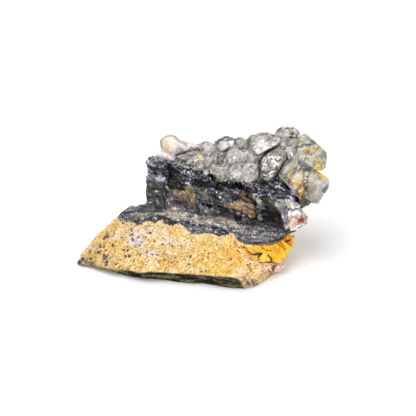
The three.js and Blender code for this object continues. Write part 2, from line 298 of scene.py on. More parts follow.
def normals_of(piece):
    """The mesh's normals, one for each point."""
    flat = np.zeros(len(piece.data.vertices) * 3)
    piece.data.vertices.foreach_get("normal", flat)
    return flat.reshape(-1, 3)


def move_points(piece, points):
    """Puts the mesh's points at these places, in the specimen's millimetres."""
    piece.data.vertices.foreach_set("co", ((points + SHIFT) * MM).ravel())
    piece.data.update()


def new_piece(name, points, faces):
    """A piece from points in the specimen's millimetres."""
    mesh = bpy.data.meshes.new(name)
    mesh.from_pydata(((np.asarray(points) + SHIFT) * MM).tolist(), [], faces)
    mesh.update()
    piece = bpy.data.objects.new(name, mesh)
    bpy.context.scene.collection.objects.link(piece)
    return piece


def divide_finely(piece, longest):
    """Divides flat faces until no edge is longer than so many millimetres, without moving the surface."""
    shape = bmesh.new()
    shape.from_mesh(piece.data)
    bmesh.ops.triangulate(shape, faces=shape.faces)
    most_rounds = 9
    for _ in range(most_rounds):
        edges = [edge for edge in shape.edges if edge.calc_length() > longest * MM]
        if not edges:
            break
        bmesh.ops.subdivide_edges(shape, edges=edges, cuts=1)
        bmesh.ops.triangulate(shape, faces=[face for face in shape.faces if len(face.verts) > 3])
    shape.to_mesh(piece.data)
    shape.free()


def finish_piece(piece, material, stands_for=None, smooth=False, edge=None):
    """Gives a piece its material, its body and the CAD node that it replaces."""
    piece.data.materials.clear()
    piece.data.materials.append(material)
    if edge:
        piece.data.materials.append(edge)
    piece.data.polygons.foreach_set("use_smooth", [smooth] * len(piece.data.polygons))
    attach(piece, "root")
    if stands_for:
        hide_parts(stands_for)


def surface_tree(*pieces):
    """A search tree over the pieces' surfaces, in the specimen's millimetres."""
    points, faces = [], []
    for piece in pieces:
        start = len(points)
        points.extend(Vector(point) for point in points_of(piece))
        faces.extend([start + i for i in face.vertices] for face in piece.data.polygons)
    return BVHTree.FromPolygons(points, faces)


def seen_at(tree, pixels):
    """The surface points and normals that the eye sees at these pixels."""
    spots, normals = [], []
    for pixel in pixels:
        spot, normal, _, _ = tree.ray_cast(Vector(EYE), Vector(ray_through(pixel)))
        if spot is not None:
            spots.append(spot)
            normals.append(normal)
    return np.array(spots), np.array(normals)


def scattered(piece, count, rng):
    """Random points on a piece's surface, the same number for equal areas, and their normals."""
    piece.data.calc_loop_triangles()
    triangles = np.array([triangle.vertices for triangle in piece.data.loop_triangles])
    corners = points_of(piece)[triangles]
    across = np.cross(corners[:, 1] - corners[:, 0], corners[:, 2] - corners[:, 0])
    area = np.linalg.norm(across, axis=1)
    chosen = rng.choice(len(area), count, p=area / area.sum())
    a, b = rng.random((2, count, 1))
    flip = a + b > 1
    a, b = np.where(flip, 1 - a, a), np.where(flip, 1 - b, b)
    base = corners[chosen]
    spots = base[:, 0] + a * (base[:, 1] - base[:, 0]) + b * (base[:, 2] - base[:, 0])
    return spots, across[chosen] / area[chosen][:, None]


def block_shape(cut):
    """Points and faces of a block two units wide, with its corners cut off by `cut` units."""
    shape = bmesh.new()
    bmesh.ops.create_cube(shape, size=2)
    if cut:
        bmesh.ops.bevel(shape, geom=shape.verts[:], offset=cut, affect="VERTICES", segments=1)
    shape.verts.index_update()
    points = np.array([vertex.co for vertex in shape.verts])
    faces = [[vertex.index for vertex in face.verts] for face in shape.faces]
    shape.free()
    return points, faces


def many_blocks(name, spots, half_sizes, rng, cut=0.0, ragged=0.12, angles=None):
    """Many small blocks joined in one mesh, each with its place and half sizes, and turned."""
    if angles is None:
        angles = rng.uniform(-3, 3, (len(spots), 3))
    shape, faces = block_shape(cut)
    bodies = np.repeat(shape[None], len(spots), 0)
    bodies = bodies * (1 + rng.uniform(-ragged, ragged, bodies.shape))
    bodies = bodies * half_sizes[:, None, :]
    bodies = np.einsum("nij,nkj->nki", turns(angles), bodies) + spots[:, None, :]
    every_face = [[i + start for i in face] for start in range(0, len(spots) * len(shape), len(shape))
                  for face in faces]
    return new_piece(name, bodies.reshape(-1, 3), every_face)


def random_sizes(count, low, high, uneven, rng):
    """Half sizes of small blocks: each from low to high, and a little uneven along its three ways."""
    return rng.uniform(low, high, (count, 1)) * rng.uniform(1 - uneven, 1 + uneven, (count, 3))


class Paint:
    """Colour marks on a piece's points: a tint, how far it covers the mineral, and a shade."""

    def __init__(self, piece):
        self.piece = piece
        self.points = points_of(piece)
        self.normals = normals_of(piece)
        self.pixels = pixels_of(self.points)
        self.facing = facing_eye(self.normals)
        self.tint = np.full((len(self.points), 3), 0.5)
        self.cover = np.zeros(len(self.points))
        self.shade = np.ones(len(self.points))
        self.drift = np.stack([noise(self.points, 1.6, 3), noise(self.points, 1.6, 12)], 1)

    def where(self, outline, soft=2.0, wobble=1.5):
        """Mask of an outline in the view, with a ragged edge, on the surfaces that face the eye."""
        return inside(self.pixels + self.drift * wobble, outline, soft) * self.facing

    def line(self, corners, width, wobble=0.5):
        """Mask of a thin line in the view, such as a crack."""
        return along(self.pixels + self.drift * wobble, corners, width) * self.facing

    def lay(self, mask, hex_code, strength=1.0):
        """Lays a colour over what is there."""
        mask = np.clip(mask * strength, 0, 1)
        together = mask + self.cover * (1 - mask)
        share = mask / np.maximum(together, 1e-6)
        self.tint += (np.array(colour(hex_code)[:3]) - self.tint) * share[:, None]
        self.cover = together

    def darken(self, mask, to):
        """Multiplies the shade: by `to` where the mask is full, by nothing where it is empty."""
        self.shade *= 1 - mask * (1 - to)

    def store(self):
        """Writes the paint to the mesh, where a PaintedLook reads it."""
        mesh = self.piece.data
        tint = mesh.attributes.new("tint", "FLOAT_COLOR", "POINT")
        tint.data.foreach_set("color", np.column_stack([self.tint, np.ones(len(self.tint))]).ravel())
        for name, values in (("cover", self.cover), ("shade", self.shade)):
            mesh.attributes.new(name, "FLOAT", "POINT").data.foreach_set("value", values)


# ---------------------------------------------------------------- material helpers
def colour(hex_code):
    """A screen colour such as 0xd9ac52, as the linear colour that Blender works in."""
    parts = [(hex_code >> shift & 255) / 255 for shift in (16, 8, 0)]
    return tuple(p / 12.92 if p <= 0.04045 else ((p + 0.055) / 1.055) ** 2.4 for p in parts) + (1.0,)


MIXED = {"data_type": "RGBA", "blend_type": "MIX"}
TIMES = {"data_type": "RGBA", "blend_type": "MULTIPLY"}


def every(size):
    """The scale of a pattern whose lumps are so many millimetres apart."""
    return 1 / (size * MM)


class Look:
    """A material with its shader. Patterns lie in the object's own coordinates."""

    def __init__(self, name, **settings):
        self.material = bpy.data.materials.new(name)
        self.material.use_nodes = True
        self.tree = self.material.node_tree
        self.shader = self.tree.nodes["Principled BSDF"]
        self.place = self.add("TexCoord", output="Object")
        self.set(**settings)

    def join(self, socket, value):
        """Links a node's output to an input, or sets the input's value."""
        if isinstance(value, bpy.types.NodeSocket):
            self.tree.links.new(value, socket)
        else:
            socket.default_value = value

    def set(self, **inputs):
        """Sets the shader's inputs: a value, or the output of a node."""
        for name, value in inputs.items():
            self.join(self.shader.inputs[name.replace("_", " ").title().replace("Ior", "IOR")], value)

    def add(self, kind, inputs=None, output=0, stops=(), **settings):
        """Adds a node with its settings, links and colour stops, and gives the output that is asked for."""
        made = self.tree.nodes.new("ShaderNode" + kind)
        for name, value in settings.items():
            setattr(made, name, value)
        for name, value in (inputs or {}).items():
            self.join(made.inputs[name], value)
        elements = made.color_ramp.elements if stops else []
        while len(elements) < len(stops):
            elements.new(0.5)
        for element, (position, hex_code) in zip(elements, stops):
            element.position = position
            element.color = colour(hex_code)
        return made.outputs[output]

    def drawn_along(self, way, length):
        """Coordinates squeezed along one direction, for patterns that are drawn out that way."""
        turn = Vector(way).to_track_quat("X", "Z").to_euler()
        inputs = {"Vector": self.place, "Rotation": turn, "Scale": (length, 1, 1)}
        return self.add("Mapping", inputs, vector_type="TEXTURE")

    def grain(self, size, place=None):
        """A random number for each grain of so many millimetres."""
        cell = self.add("TexVoronoi", {"Vector": place or self.place, "Scale": every(size)}, "Color")
        return self.add("SeparateColor", {"Color": cell}, "Red")

    def weighed(self, *parts, start=0.0):
        """The sum of patterns: each is a node's output and its weight."""
        total = start
        for pattern, weight in parts:
            total = self.add("Math", {0: pattern, 1: weight, 2: total}, operation="MULTIPLY_ADD")
        return total

    def speckled(self, tint, *parts, gain=1.0):
        """A colour made lighter and darker by patterns with 0.5 as their middle: each has an amount."""
        start = gain - sum(amount for _, amount in parts) / 2
        factor = self.add("Math", {0: self.weighed(*parts, start=start), 1: 0.05}, operation="MAXIMUM")
        return self.add("Mix", {0: 1.0, 6: tint, 7: factor}, 2, **TIMES)

    def facets(self, size, tilt):
        """Tilts the normal by a random amount for each cell, so that cells sparkle one by one."""
        cell = self.add("TexVoronoi", {"Vector": self.place, "Scale": every(size)}, "Color")
        lean = self.add("VectorMath", {0: cell, 1: (0.5, 0.5, 0.5)}, operation="SUBTRACT")
        lean = self.add("VectorMath", {0: lean, "Scale": tilt}, operation="SCALE")
        both = self.add("VectorMath", {0: self.add("NewGeometry", output="Normal"), 1: lean}, operation="ADD")
        self.set(normal=self.add("VectorMath", {0: both}, operation="NORMALIZE"))


class PaintedLook(Look):
    """A look that shows the marks of Paint: a tint, how far it covers the mineral, and a shade."""

    def __init__(self, name, **settings):
        super().__init__(name, **settings)
        self.tint = self.add("Attribute", output="Color", attribute_name="tint")
        self.cover = self.add("Attribute", output="Fac", attribute_name="cover")
        self.shade = self.add("Attribute", output="Color", attribute_name="shade")

    def covered(self, clean, tint):
        """The clean mineral's colour, and the tint where the paint covers it."""
        return self.add("Mix", {0: self.cover, 6: clean, 7: tint}, 2, **MIXED)

    def shaded(self, face):
        """A colour made darker where the paint has a shade."""
        return self.add("Mix", {0: 1.0, 6: face, 7: self.shade}, 2, **TIMES)


# ---------------------------------------------------------------- materials
STROKES = across_view(0.62, 0.78)  # the way the sandstone's grains are drawn out
STRATA = across_view(0.82, -0.57)  # the way the galena's plates run


def sandstone_look():
    """Ochre sandstone: loose dull grains of several yellows, with warm and pale drifts between them."""
    look = PaintedLook("ochre_sandstone", roughness=0.92)
    grain = look.grain(0.48)
    fine = look.add("TexNoise", {"Vector": look.drawn_along(STROKES, 3.4), "Scale": every(0.55), "Detail": 3})
    drift = look.add("TexNoise", {"Vector": look.drawn_along(STROKES, 2.0), "Scale": every(4.0), "Detail": 3})
    clean = look.add("ValToRGB", {"Fac": look.weighed((drift, 0.35), (fine, 0.6), (grain, 0.25))},
                     stops=((0.4, 0x86663A), (0.49, 0xC6963E), (0.56, 0xE0B658), (0.65, 0xECCE8A),
                            (0.76, 0xFAF0DC)))
    warm, pale = (1.9, 1.7, 0.56, 0.32, 0xF4B848), (1.5, 1.5, 0.63, 0.5, 0xD9CCC8)
    for size, length, limit, strength, tone in (warm, pale):
        blotch = look.add("TexNoise", {"Vector": look.drawn_along(STROKES, length), "Scale": every(size),
                                       "Detail": 2})
        where = look.add("Math", {0: blotch, 1: limit}, operation="GREATER_THAN")
        clean = look.add("Mix", {0: look.weighed((where, strength)), 6: clean, 7: colour(tone)}, 2, **MIXED)
    tint = look.speckled(look.tint, (fine, 1.3), (grain, 0.6))
    pits = look.add("TexVoronoi", {"Vector": look.place, "Scale": every(0.55)}, "Distance")
    rough = look.add("Bump", {"Height": fine, "Distance": 0.35 * MM})
    look.set(base_color=look.shaded(look.covered(clean, tint)),
             normal=look.add("Bump", {"Height": pits, "Distance": 0.2 * MM, "Normal": rough}))
    return look.material


def ochre_look():
    """Earthy iron crust: matt, a stronger yellow than the sandstone, and rusty where it is thin."""
    look = PaintedLook("ochre_crust", roughness=0.88)
    grain = look.grain(0.45)
    earth = look.add("TexNoise", {"Vector": look.place, "Scale": every(3.2), "Detail": 5})
    clean = look.add("ValToRGB", {"Fac": look.weighed((earth, 0.8), (grain, 0.2))},
                     stops=((0.34, 0xCE8812), (0.45, 0xF0AC22), (0.56, 0xFCC23A), (0.72, 0xFFDA70)))
    fine = look.add("TexNoise", {"Vector": look.place, "Scale": every(0.9), "Detail": 3})
    lumps = look.add("TexNoise", {"Vector": look.place, "Scale": every(1.6), "Detail": 5})
    pits = look.add("TexVoronoi", {"Vector": look.place, "Scale": every(0.45)}, "Distance")
    rough = look.add("Bump", {"Height": lumps, "Distance": 0.3 * MM})
    look.set(base_color=look.shaded(look.covered(clean, look.speckled(look.tint, (grain, 0.7), (fine, 1.2)))),
             normal=look.add("Bump", {"Height": pits, "Distance": 0.08 * MM, "Normal": rough}))
    return look.material


def galena_look():
    """Galena, a lead-grey metal: dark cleavage faces that flash one by one, dull where dust covers them."""
    look = PaintedLook("galena")
    cell = look.grain(0.75, look.drawn_along(STRATA, 1.5))
    fleck = look.grain(0.42)
    blotch = look.add("TexNoise", {"Vector": look.place, "Scale": every(1.8), "Detail": 4})
    flash = look.add("ValToRGB", {"Fac": cell},
                     stops=((0.0, 0x1E1E21), (0.4, 0x46464C), (0.68, 0x7A7A84), (0.86, 0xB4B4C2),
                            (1.0, 0xF2F2FC)))
    metal = look.speckled(flash, (blotch, 2.0), (fleck, 0.9))
    dust = look.speckled(look.tint, (cell, 0.9), (fleck, 0.9), (blotch, 1.5), gain=1.04)
    look.set(base_color=look.shaded(look.covered(metal, dust)),
             metallic=look.weighed((look.cover, -0.8), start=0.85),
             roughness=look.weighed((look.cover, 0.4), start=0.34))
    look.facets(0.75, 0.7)
    return look.material


def galena_grain_look():
    """Small cleavage cubes of galena: polished flat faces, each with a brightness of its own."""
    look = PaintedLook("galena_grains", roughness=0.34)
    island = look.add("NewGeometry", output="Random Per Island")
    flash = look.add("ValToRGB", {"Fac": island},
                     stops=((0.0, 0x1C1C20), (0.42, 0x46464D), (0.68, 0x7E7E88), (0.86, 0xBABAC8),
                            (1.0, 0xFAFAFF)))
    look.set(base_color=look.shaded(look.covered(flash, look.speckled(look.tint, (island, 1.5)))),
             metallic=look.weighed((look.cover, -0.8), start=0.85))
    look.facets(0.9, 0.3)
    return look.material


def speck_look():
    """Weathered galena in the sandstone: dull, dark and faintly violet."""
    look = Look("galena_specks", metallic=0.4, roughness=0.5)
    island = look.add("NewGeometry", output="Random Per Island")
    look.set(base_color=look.add("ValToRGB", {"Fac": island},
                                 stops=((0.0, 0x46424C), (0.6, 0x68626A), (1.0, 0x948C90))))
    look.facets(0.5, 0.5)
    return look.material


def sand_look():
    """Loose quartz sand: matt pale grains, each a little different."""
    look = Look("pale_sand", roughness=0.85)
    island = look.add("NewGeometry", output="Random Per Island")
    look.set(base_color=look.add("ValToRGB", {"Fac": island}, stops=((0.0, 0xD8A850), (1.0, 0xFFF6DE))))
    return look.material


def crystal_look(name, dark, middle, light, clarity=0.5, roughness=0.05, flaky=1.0, gloss=0.5):
    """Cloudy crystal, smooth as grown: some light goes in to its broken heart, some comes back from veils."""
    look = PaintedLook(name, transmission_weight=clarity, ior=1.6, roughness=roughness,
                       specular_ior_level=gloss)
    flake = look.grain(0.85, look.drawn_along(STROKES, 1.9))
    splinter = look.grain(0.5, look.drawn_along(STRATA, 2.6))
    cloud = look.add("TexNoise", {"Vector": look.drawn_along(STROKES, 2.0), "Scale": every(2.2), "Detail": 3,
                                  "Distortion": 0.3})
    frost = look.add("TexNoise", {"Vector": look.place, "Scale": every(0.45), "Detail": 2})
    clean = look.add("ValToRGB", {"Fac": look.weighed((splinter, 0.14), (flake, 0.26), (cloud, 0.6))},
                     stops=((0.34, dark), (0.46, middle), (0.6, light), (0.68, 0xFFFFFF)))
    tint = look.speckled(look.tint, (flake, 0.7 * flaky), (splinter, 0.6 * flaky), (cloud, 1.4),
                         (frost, 1.4 * flaky), gain=1.24)
    face = look.covered(look.speckled(clean, (frost, 1.4 * flaky), gain=1.06), tint)
    # White flecks painted on as glints of light, and dark flecks.
    painted_glints, dull = ("GREATER_THAN", 0.9, 0.6, 0xFFFFFF), ("LESS_THAN", 0.09, 0.5, 0x4E4B44)
    for side, limit, strength, tone in (painted_glints, dull):
        where = look.add("Math", {0: flake, 1: limit}, operation=side)
        share = look.weighed((where, strength * flaky))
        face = look.add("Mix", {0: share, 6: face, 7: colour(tone)}, 2, **MIXED)
    look.set(base_color=look.shaded(face))
    look.facets(1.3, 0.22)
    return look.material


def painted_rim_look():
    """Edges of the crystals, painted darker than the faces as shade where the glass bends away, with lighter
    streaks of painted light along them.
    """
    look = PaintedLook("crystal_painted_rims", transmission_weight=0.6, ior=1.6, roughness=0.06)
    rim_light_and_shade = look.add("TexNoise", {"Vector": look.place, "Scale": every(2.0), "Detail": 3})
    edge = look.add("ValToRGB", {"Fac": rim_light_and_shade}, stops=((0.4, 0x8A8478), (0.5, 0xB4AEA2), (0.62, 0xF0ECE4)))
    dull = look.add("Mix", {0: 0.3, 6: look.tint, 7: colour(0x746E62)}, 2, **MIXED)
    face = look.add("Mix", {0: look.weighed((look.cover, 0.7)), 6: edge, 7: dull}, 2, **MIXED)
    look.set(base_color=look.shaded(face))
    return look.material


def clear_look():
    """Water-clear quartz with white veils: light goes straight through it between the veils."""
    look = PaintedLook("clear_crystal", ior=1.54, roughness=0.02)
    crumple = look.add("TexNoise", {"Vector": look.place, "Scale": every(0.8), "Detail": 3,
                                    "Distortion": 1.6})
    flake = look.grain(0.6, look.drawn_along(STROKES, 1.6))
    veil = look.speckled(look.tint, (crumple, 2.8), (flake, 1.2), gain=1.02)
    look.set(base_color=look.shaded(look.covered(colour(0xF4F2EA), veil)),
             transmission_weight=look.weighed((look.cover, -0.72), start=1.0))
    look.facets(1.0, 0.3)
    return look.material


def heart_look(name, dark, middle, light):
    """The fractured inside of a crystal: broken facets from dark to white."""
    look = Look(name, roughness=0.2)
    cloud = look.add("TexNoise", {"Vector": look.place, "Scale": every(1.6), "Detail": 3})
    value = look.weighed((look.grain(0.9), 0.5), (cloud, 0.5))
    look.set(base_color=look.add("ValToRGB", {"Fac": value},
                                 stops=((0.3, dark), (0.45, middle), (0.62, light), (0.72, 0xFFFFFF))))
    look.facets(1.1, 0.8)
    return look.material


def clear_heart_look():
    """The crumpled veils inside the clear crystal: white folds with dark and olive gaps between them."""
    look = PaintedLook("clear_crystal_inside", roughness=0.25)
    crumple = look.add("TexNoise", {"Vector": look.place, "Scale": every(1.3), "Detail": 2,
                                    "Distortion": 1.2})
    rim = look.add("ValToRGB", {"Fac": crumple},
                   stops=((0.4, 0x4A4844), (0.48, 0x908E88), (0.56, 0xCCCAC4), (0.62, 0xFFFFFF)))
    folds = look.speckled(look.tint, (crumple, 2.2), gain=1.4)
    look.set(base_color=look.shaded(look.covered(rim, folds)))
    look.facets(1.0, 0.5)
    return look.material


def crystal_grain_look():
    """Small broken crystals: glassy grains from grey to white."""
    look = Look("crystal_grains", roughness=0.1, transmission_weight=0.3, ior=1.54)
    island = look.add("NewGeometry", output="Random Per Island")
    uneven = look.add("TexNoise", {"Vector": look.place, "Scale": every(0.6), "Detail": 3})
    look.set(base_color=look.add("ValToRGB", {"Fac": island},
                                 stops=((0.0, 0x7C7872), (0.5, 0xB8B0A8), (0.85, 0xE4DFDA), (1.0, 0xFFFFFF))),
             normal=look.add("Bump", {"Height": uneven, "Distance": 0.03 * MM}))
    return look.material


def calcite_look():
    """White calcite: waxy and a little see-through, with cleavage flashes and rusty stains."""
    look = PaintedLook("white_calcite", roughness=0.35, subsurface_weight=0.2,
                       subsurface_radius=(1.0, 0.8, 0.7), subsurface_scale=0.8 * MM)
    cell = look.grain(0.8)
    cloud = look.add("TexNoise", {"Vector": look.place, "Scale": every(2.0), "Detail": 4})
    clean = look.add("ValToRGB", {"Fac": look.weighed((cloud, 0.75), (cell, 0.25))},
                     stops=((0.32, 0xB4ABAB), (0.44, 0xD6CFCD), (0.6, 0xE8E4E2)))
    look.set(base_color=look.shaded(look.covered(clean, look.speckled(look.tint, (cell, 0.3)))))
    look.facets(1.3, 0.45)
    return look.material


# ---------------------------------------------------------------- sandstone
# Outlines and lines are flat rows of pixels in the view: across, down, across, down, and so on.
# Top edge of the yellow face where the galena begins, from left to right.
CONTACT_LINE = (
    108, 223, 112, 220, 118, 217.5, 122, 224.5, 127, 222, 132, 223, 137, 225, 142, 225, 145, 222, 149, 221,
    152, 224.5, 157, 223, 161, 221, 165, 224, 169, 226.5, 174, 225.5, 179, 224.5, 183, 226.5, 187, 231, 190,
    234, 198, 234.5, 205, 233.4, 213, 234, 217, 236.6, 221, 237.4, 226, 235.3, 232.5, 233.7, 235, 237.8, 240,
    242.4, 245, 244.5, 252, 245.4, 262, 245.6, 272, 245.3, 278, 242, 284, 238.6,
)
BELOW_CONTACT = CONTACT_LINE + (290, 300, 100, 300)
ABOVE_CONTACT = CONTACT_LINE + (284, 190, 108, 190)
# Drifts of colour on the yellow face: outline, colour, how fully it covers.
SAND_MARKS = [
    ((74, 256, 100, 250, 130, 262, 122, 271, 76, 268), 0xC9A878, 0.6),
    ((150, 226, 172, 231, 190, 238, 196, 246, 180, 250, 160, 244, 147, 236), 0xE8DCCE, 0.5),
    ((118, 228, 136, 230, 152, 228, 156, 240, 150, 254, 132, 250, 120, 240), 0xE2D4C8, 0.45),
    ((126, 238, 136, 236, 144, 240, 140, 245, 129, 245), 0xD4CCD2, 0.8),
    ((136, 227, 148, 226, 150, 232, 138, 233), 0xEED6CC, 0.8),
    ((112, 236, 121, 235, 121, 240, 113, 241), 0xD8CCC8, 0.8),
    ((154, 226.4, 161, 226, 161, 229, 155, 229.4), 0xD2D2DC, 0.9),
    ((176, 237.6, 183, 238, 182, 241, 177, 241), 0xD2D4DC, 0.9),
    ((146, 251, 158, 250, 160, 257, 149, 259), 0xF2E0DC, 0.8),
    ((154, 240, 164, 241, 163, 248, 153, 247), 0xF6E6B4, 0.8),
    ((90, 246, 99, 246, 98, 252, 90, 252), 0xC8BCB4, 0.7),
    ((172, 227, 179, 225, 188, 232, 186, 237, 174, 237, 168, 232), 0xFAC84E, 0.85),
    ((178, 226, 186, 228, 189, 235, 184, 234), 0xFBEFC4, 0.7),
    ((155, 220, 162, 221, 169, 227, 176, 231, 172, 233, 163, 228, 156, 225), 0xB4982C, 0.8),
    ((205, 243, 238, 240, 250, 252, 260, 262, 256, 280, 245, 284, 205, 270, 190, 258), 0xF4BE50, 0.5),
    ((222, 246, 240, 250, 244, 262, 240, 274, 218, 270), 0xF0AC38, 0.5),
    ((240, 250, 256, 254, 252, 264, 244, 262), 0xEEDAB0, 0.7),
    ((258, 262, 284, 263, 284, 270, 268, 281, 252, 284, 254, 272), 0xFFD8A6, 0.9),
    ((264, 263, 276, 264, 272, 274, 264, 274), 0xFFDEC8, 0.8),
    ((273, 273, 283, 263, 285, 264, 276, 276), 0xF2B840, 0.9),
    ((232, 268, 242, 266, 246, 278, 238, 278), 0xF2D8BC, 0.7),
    ((240, 277, 252, 275, 258, 284, 250, 290, 243, 287), 0xD6C09E, 0.95),
    ((74, 256, 82, 256, 85, 260, 80, 267, 74, 268), 0x77726C, 0.9),
]
# Cracks, painted dark with shade, among them the shadow line below the crust: the corners of the line, its
# half width in pixels.
SAND_CRACK_SHADOWS = [
    ((248, 265.6, 250, 268, 251.4, 271.4), 0.8), ((251.6, 279, 253.4, 283, 254.4, 287), 0.7),
    ((256, 284.6, 262, 283.6), 0.7), ((234, 241, 235.6, 245, 238, 248), 0.5),
    ((266, 281, 270, 278, 274, 275.4), 0.6), ((243, 277, 247, 281, 249, 286), 0.7),
    ((259, 256, 263.6, 262.4, 274, 264.6, 283, 264.6), 0.9), ((157, 260, 160, 264), 0.5),
]
# The band below the yellow face, painted dark as the shade under its overhang.
UNDERCUT_SHADE = (
    118, 270.2, 126, 271, 143, 272.6, 150, 271.7, 169, 272.6, 186, 273.4, 202, 274.8, 215, 276.2, 231, 277,
    238, 279, 241, 282, 245, 290, 110, 294,
)
# Larger dark grains in the sandstone: pixel across, pixel down, width in pixels.
SPECKS = (
    106.8, 236.7, 5.6, 104, 239, 3.4, 101, 246.3, 4.2, 104, 247.6, 2.6, 90.2, 252.1, 4.2, 98.9, 252.5, 3.8,
    105.6, 256.3, 4.8, 113, 245, 3, 80, 261.4, 4, 82.6, 259.4, 3.2, 77.6, 264, 2.6, 91, 263, 4, 91, 260, 2.4,
    105.2, 265, 4.2, 106.4, 262.4, 2.4, 116.8, 264.2, 3.6, 128.5, 256.7, 4, 126, 257, 2.4, 140.2, 255, 2.4,
    131.4, 230, 4, 131, 235, 2.6, 114, 233.3, 2.4, 122.3, 238.3, 2.8, 132.7, 239.2, 2.6, 138.5, 237.5, 1.8,
    145.6, 237.1, 2.4, 150.2, 233.3, 2.4, 135.2, 246.3, 2.4, 139.3, 245.6, 2, 142.3, 241.7, 1.8, 127.7, 250.4,
    3.2, 124, 250, 2.4, 154.8, 241.3, 2.2, 163, 243.8, 2.4, 147.7, 252.3, 2.2, 157.3, 255, 2.4, 152, 255, 2,
    165.2, 259.6, 2.4, 190.6, 256.7, 2.6, 188.5, 265, 2.6, 171.8, 246.7, 2, 170, 243.4, 1.8, 217, 244.5, 2.2,
    205, 250.3, 2.2, 208.3, 253, 1.8, 208.3, 257.4, 2.2, 202.5, 260, 2.4, 231.3, 259, 2.4, 201.7, 272, 2.6,
    205.6, 270.4, 1.8, 250.4, 264, 1.8, 247, 265, 1.6, 115, 229, 2.6, 106, 250, 2, 167, 254.4, 2, 175, 257,
    1.8, 181, 246, 1.6, 192, 242, 1.6, 178, 262, 1.6, 142, 262, 1.8,
)
# The rounded lump at the slab's front corner.
SLAB_KNUCKLE = (238, 271, 250, 270, 258, 278, 258, 285, 250, 290, 243, 288, 240, 280)


def make_sandstone():
    """The slab: a face of drawn-out grains, a broken foot that stands back, and a flat underside."""
    piece = copy_of("sandstone_matrix", "sandstone_rock")
    remesh(piece, ROCK_VOXEL)
    points, normals = points_of(piece), normals_of(piece)
    free = np.clip(points[:, 2] / 1.2, 0, 1)  # the underside stays flat
    drawn = drawn_out(points, STROKES, 2.4)
    _, random, border = grains(points, 0.85, seed=6)
    lift = 0.45 * noise(points, 6, seed=1) + 0.34 * noise(drawn, 2.0, seed=2) + 0.24 * noise(drawn, 0.8, 3, 2)
    lift += 0.14 * np.clip(border / 0.3, 0, 1) + 0.2 * (random[:, 0] - 0.5)
    lift -= 0.25 * np.abs(noise(points, 3.4, seed=4))
    foot_top, foot_fade = 4.6, 1.5
    foot = np.clip((foot_top - points[:, 2]) / foot_fade, 0, 1) * np.clip(-normals[:, 1] * 2, 0, 1)
    lift -= foot * (0.3 + 1.3 * np.abs(noise(points * [1, 1, 2.6], 3, seed=8)))
    lump = inside(pixels_of(points), SLAB_KNUCKLE, 3) * (normals @ BACK > -0.2)
    lift += lump * 0.7 * noise(points, 1.5, seed=9)
    points += normals * (lift * free)[:, None]
    in_and_out = noise(points * [1, 1, 0.2], 8, seed=10, octaves=2)
    points[:, :2] += normals[:, :2] * (foot * 1.3 * in_and_out)[:, None]
    overlap = 0.4  # the stone's top reaches so far into the galena, so that no gap shows
    points[:, 2] += overlap * np.clip((points[:, 2] - CONTACT_Z + 1) / 0.8, 0, 1)
    points[:, 2] = np.maximum(points[:, 2], 0)
    move_points(piece, points)
    paint_sandstone(piece)
    finish_piece(piece, sandstone_look(), "sandstone_matrix", smooth=True)
    return piece


def paint_sandstone(piece):
    """Drifts of the yellow face, painted shade in its cracks, on the undercut and on the underside, and
    galena's dust above the contact.
    """
    paint = Paint(piece)
    ragged = 0.6 + 0.8 * noise(drawn_out(paint.points, STROKES, 2.0), 1.6, seed=11)
    for outline, hex_code, strength in SAND_MARKS:
        paint.lay(paint.where(outline, 4, 2) * ragged, hex_code, strength)
    # Painted shade in the sandstone's cracks.
    for corners, width in SAND_CRACK_SHADOWS:
        paint.darken(paint.line(corners, width), 0.3)
    # The undercut is painted as shade, darker in streaks along its beds.
    undercut_shade = paint.where(UNDERCUT_SHADE, 0.8, 0.9)
    paint.lay(undercut_shade, 0x857A5C, 0.95)
    beds = noise(drawn_out(paint.points, RIGHT, 5), 1.1, seed=13)
    paint.darken(undercut_shade, np.clip(0.2 + 1.3 * beds, 0.03, 0.9))
    height = paint.points[:, 2]
    # Painted shade on the faces that look down near the bottom.
    underside_shade = np.clip(-paint.normals[:, 2] * 2, 0, 1) * np.clip((5 - height) / 2, 0, 1)
    paint.lay(underside_shade, 0x5C5138, 0.8)
    top = paint.where(ABOVE_CONTACT, 0.8, 1.0) * np.clip(paint.normals @ BACK * 4, 0, 1)
    top *= np.clip((height - CONTACT_Z + 2.6) / 0.6, 0, 1)
    paint.lay(top, 0x66646A, 1.0)
    paint.darken(top, np.clip(0.6 + 0.8 * noise(paint.points, 1.0, seed=14), 0.2, 1.0))
    paint.store()


# Outline of the crust's face as it is seen; what lies below it is sandstone.
BELOW_CRUST = (
    228, 246, 243.3, 248, 247.5, 252, 251.7, 254.4, 258.4, 255, 257, 258, 260.8, 262.4, 269, 263, 276, 263.8,
    286, 264.4, 286, 274, 228, 274,
)
# Open cracks in the crust, sunk and painted dark with shade: the corners of the line, its half width in
# pixels.
CRUST_CRACKS = [
    ((242, 246, 243.6, 248, 247.5, 251.6, 251.7, 254, 256, 254.7, 260.8, 254.2), 0.9),
    ((256, 253.6, 261.6, 253.4, 259, 256.4, 257.8, 258.4, 260, 261.6), 1),
    ((260.8, 262.2, 269, 262.6, 276, 263.4, 282.5, 264), 0.8),
    ((268.4, 255.2, 269.6, 257.4, 271.4, 258.6, 271.2, 262), 0.8),
    ((277, 242.4, 280, 245.4, 283, 247.6, 286, 250.6), 0.4), ((280, 242, 283, 244.8, 287, 248.6), 0.3),
    ((284.6, 240.6, 288, 243.4, 291, 245.2), 0.55), ((241, 241, 243.6, 245, 247, 248.4), 0.4),
    ((280.4, 238, 283.6, 240, 287.4, 241.2, 290, 240), 0.6), ((262, 247, 266, 250, 272, 251), 0.3),
]


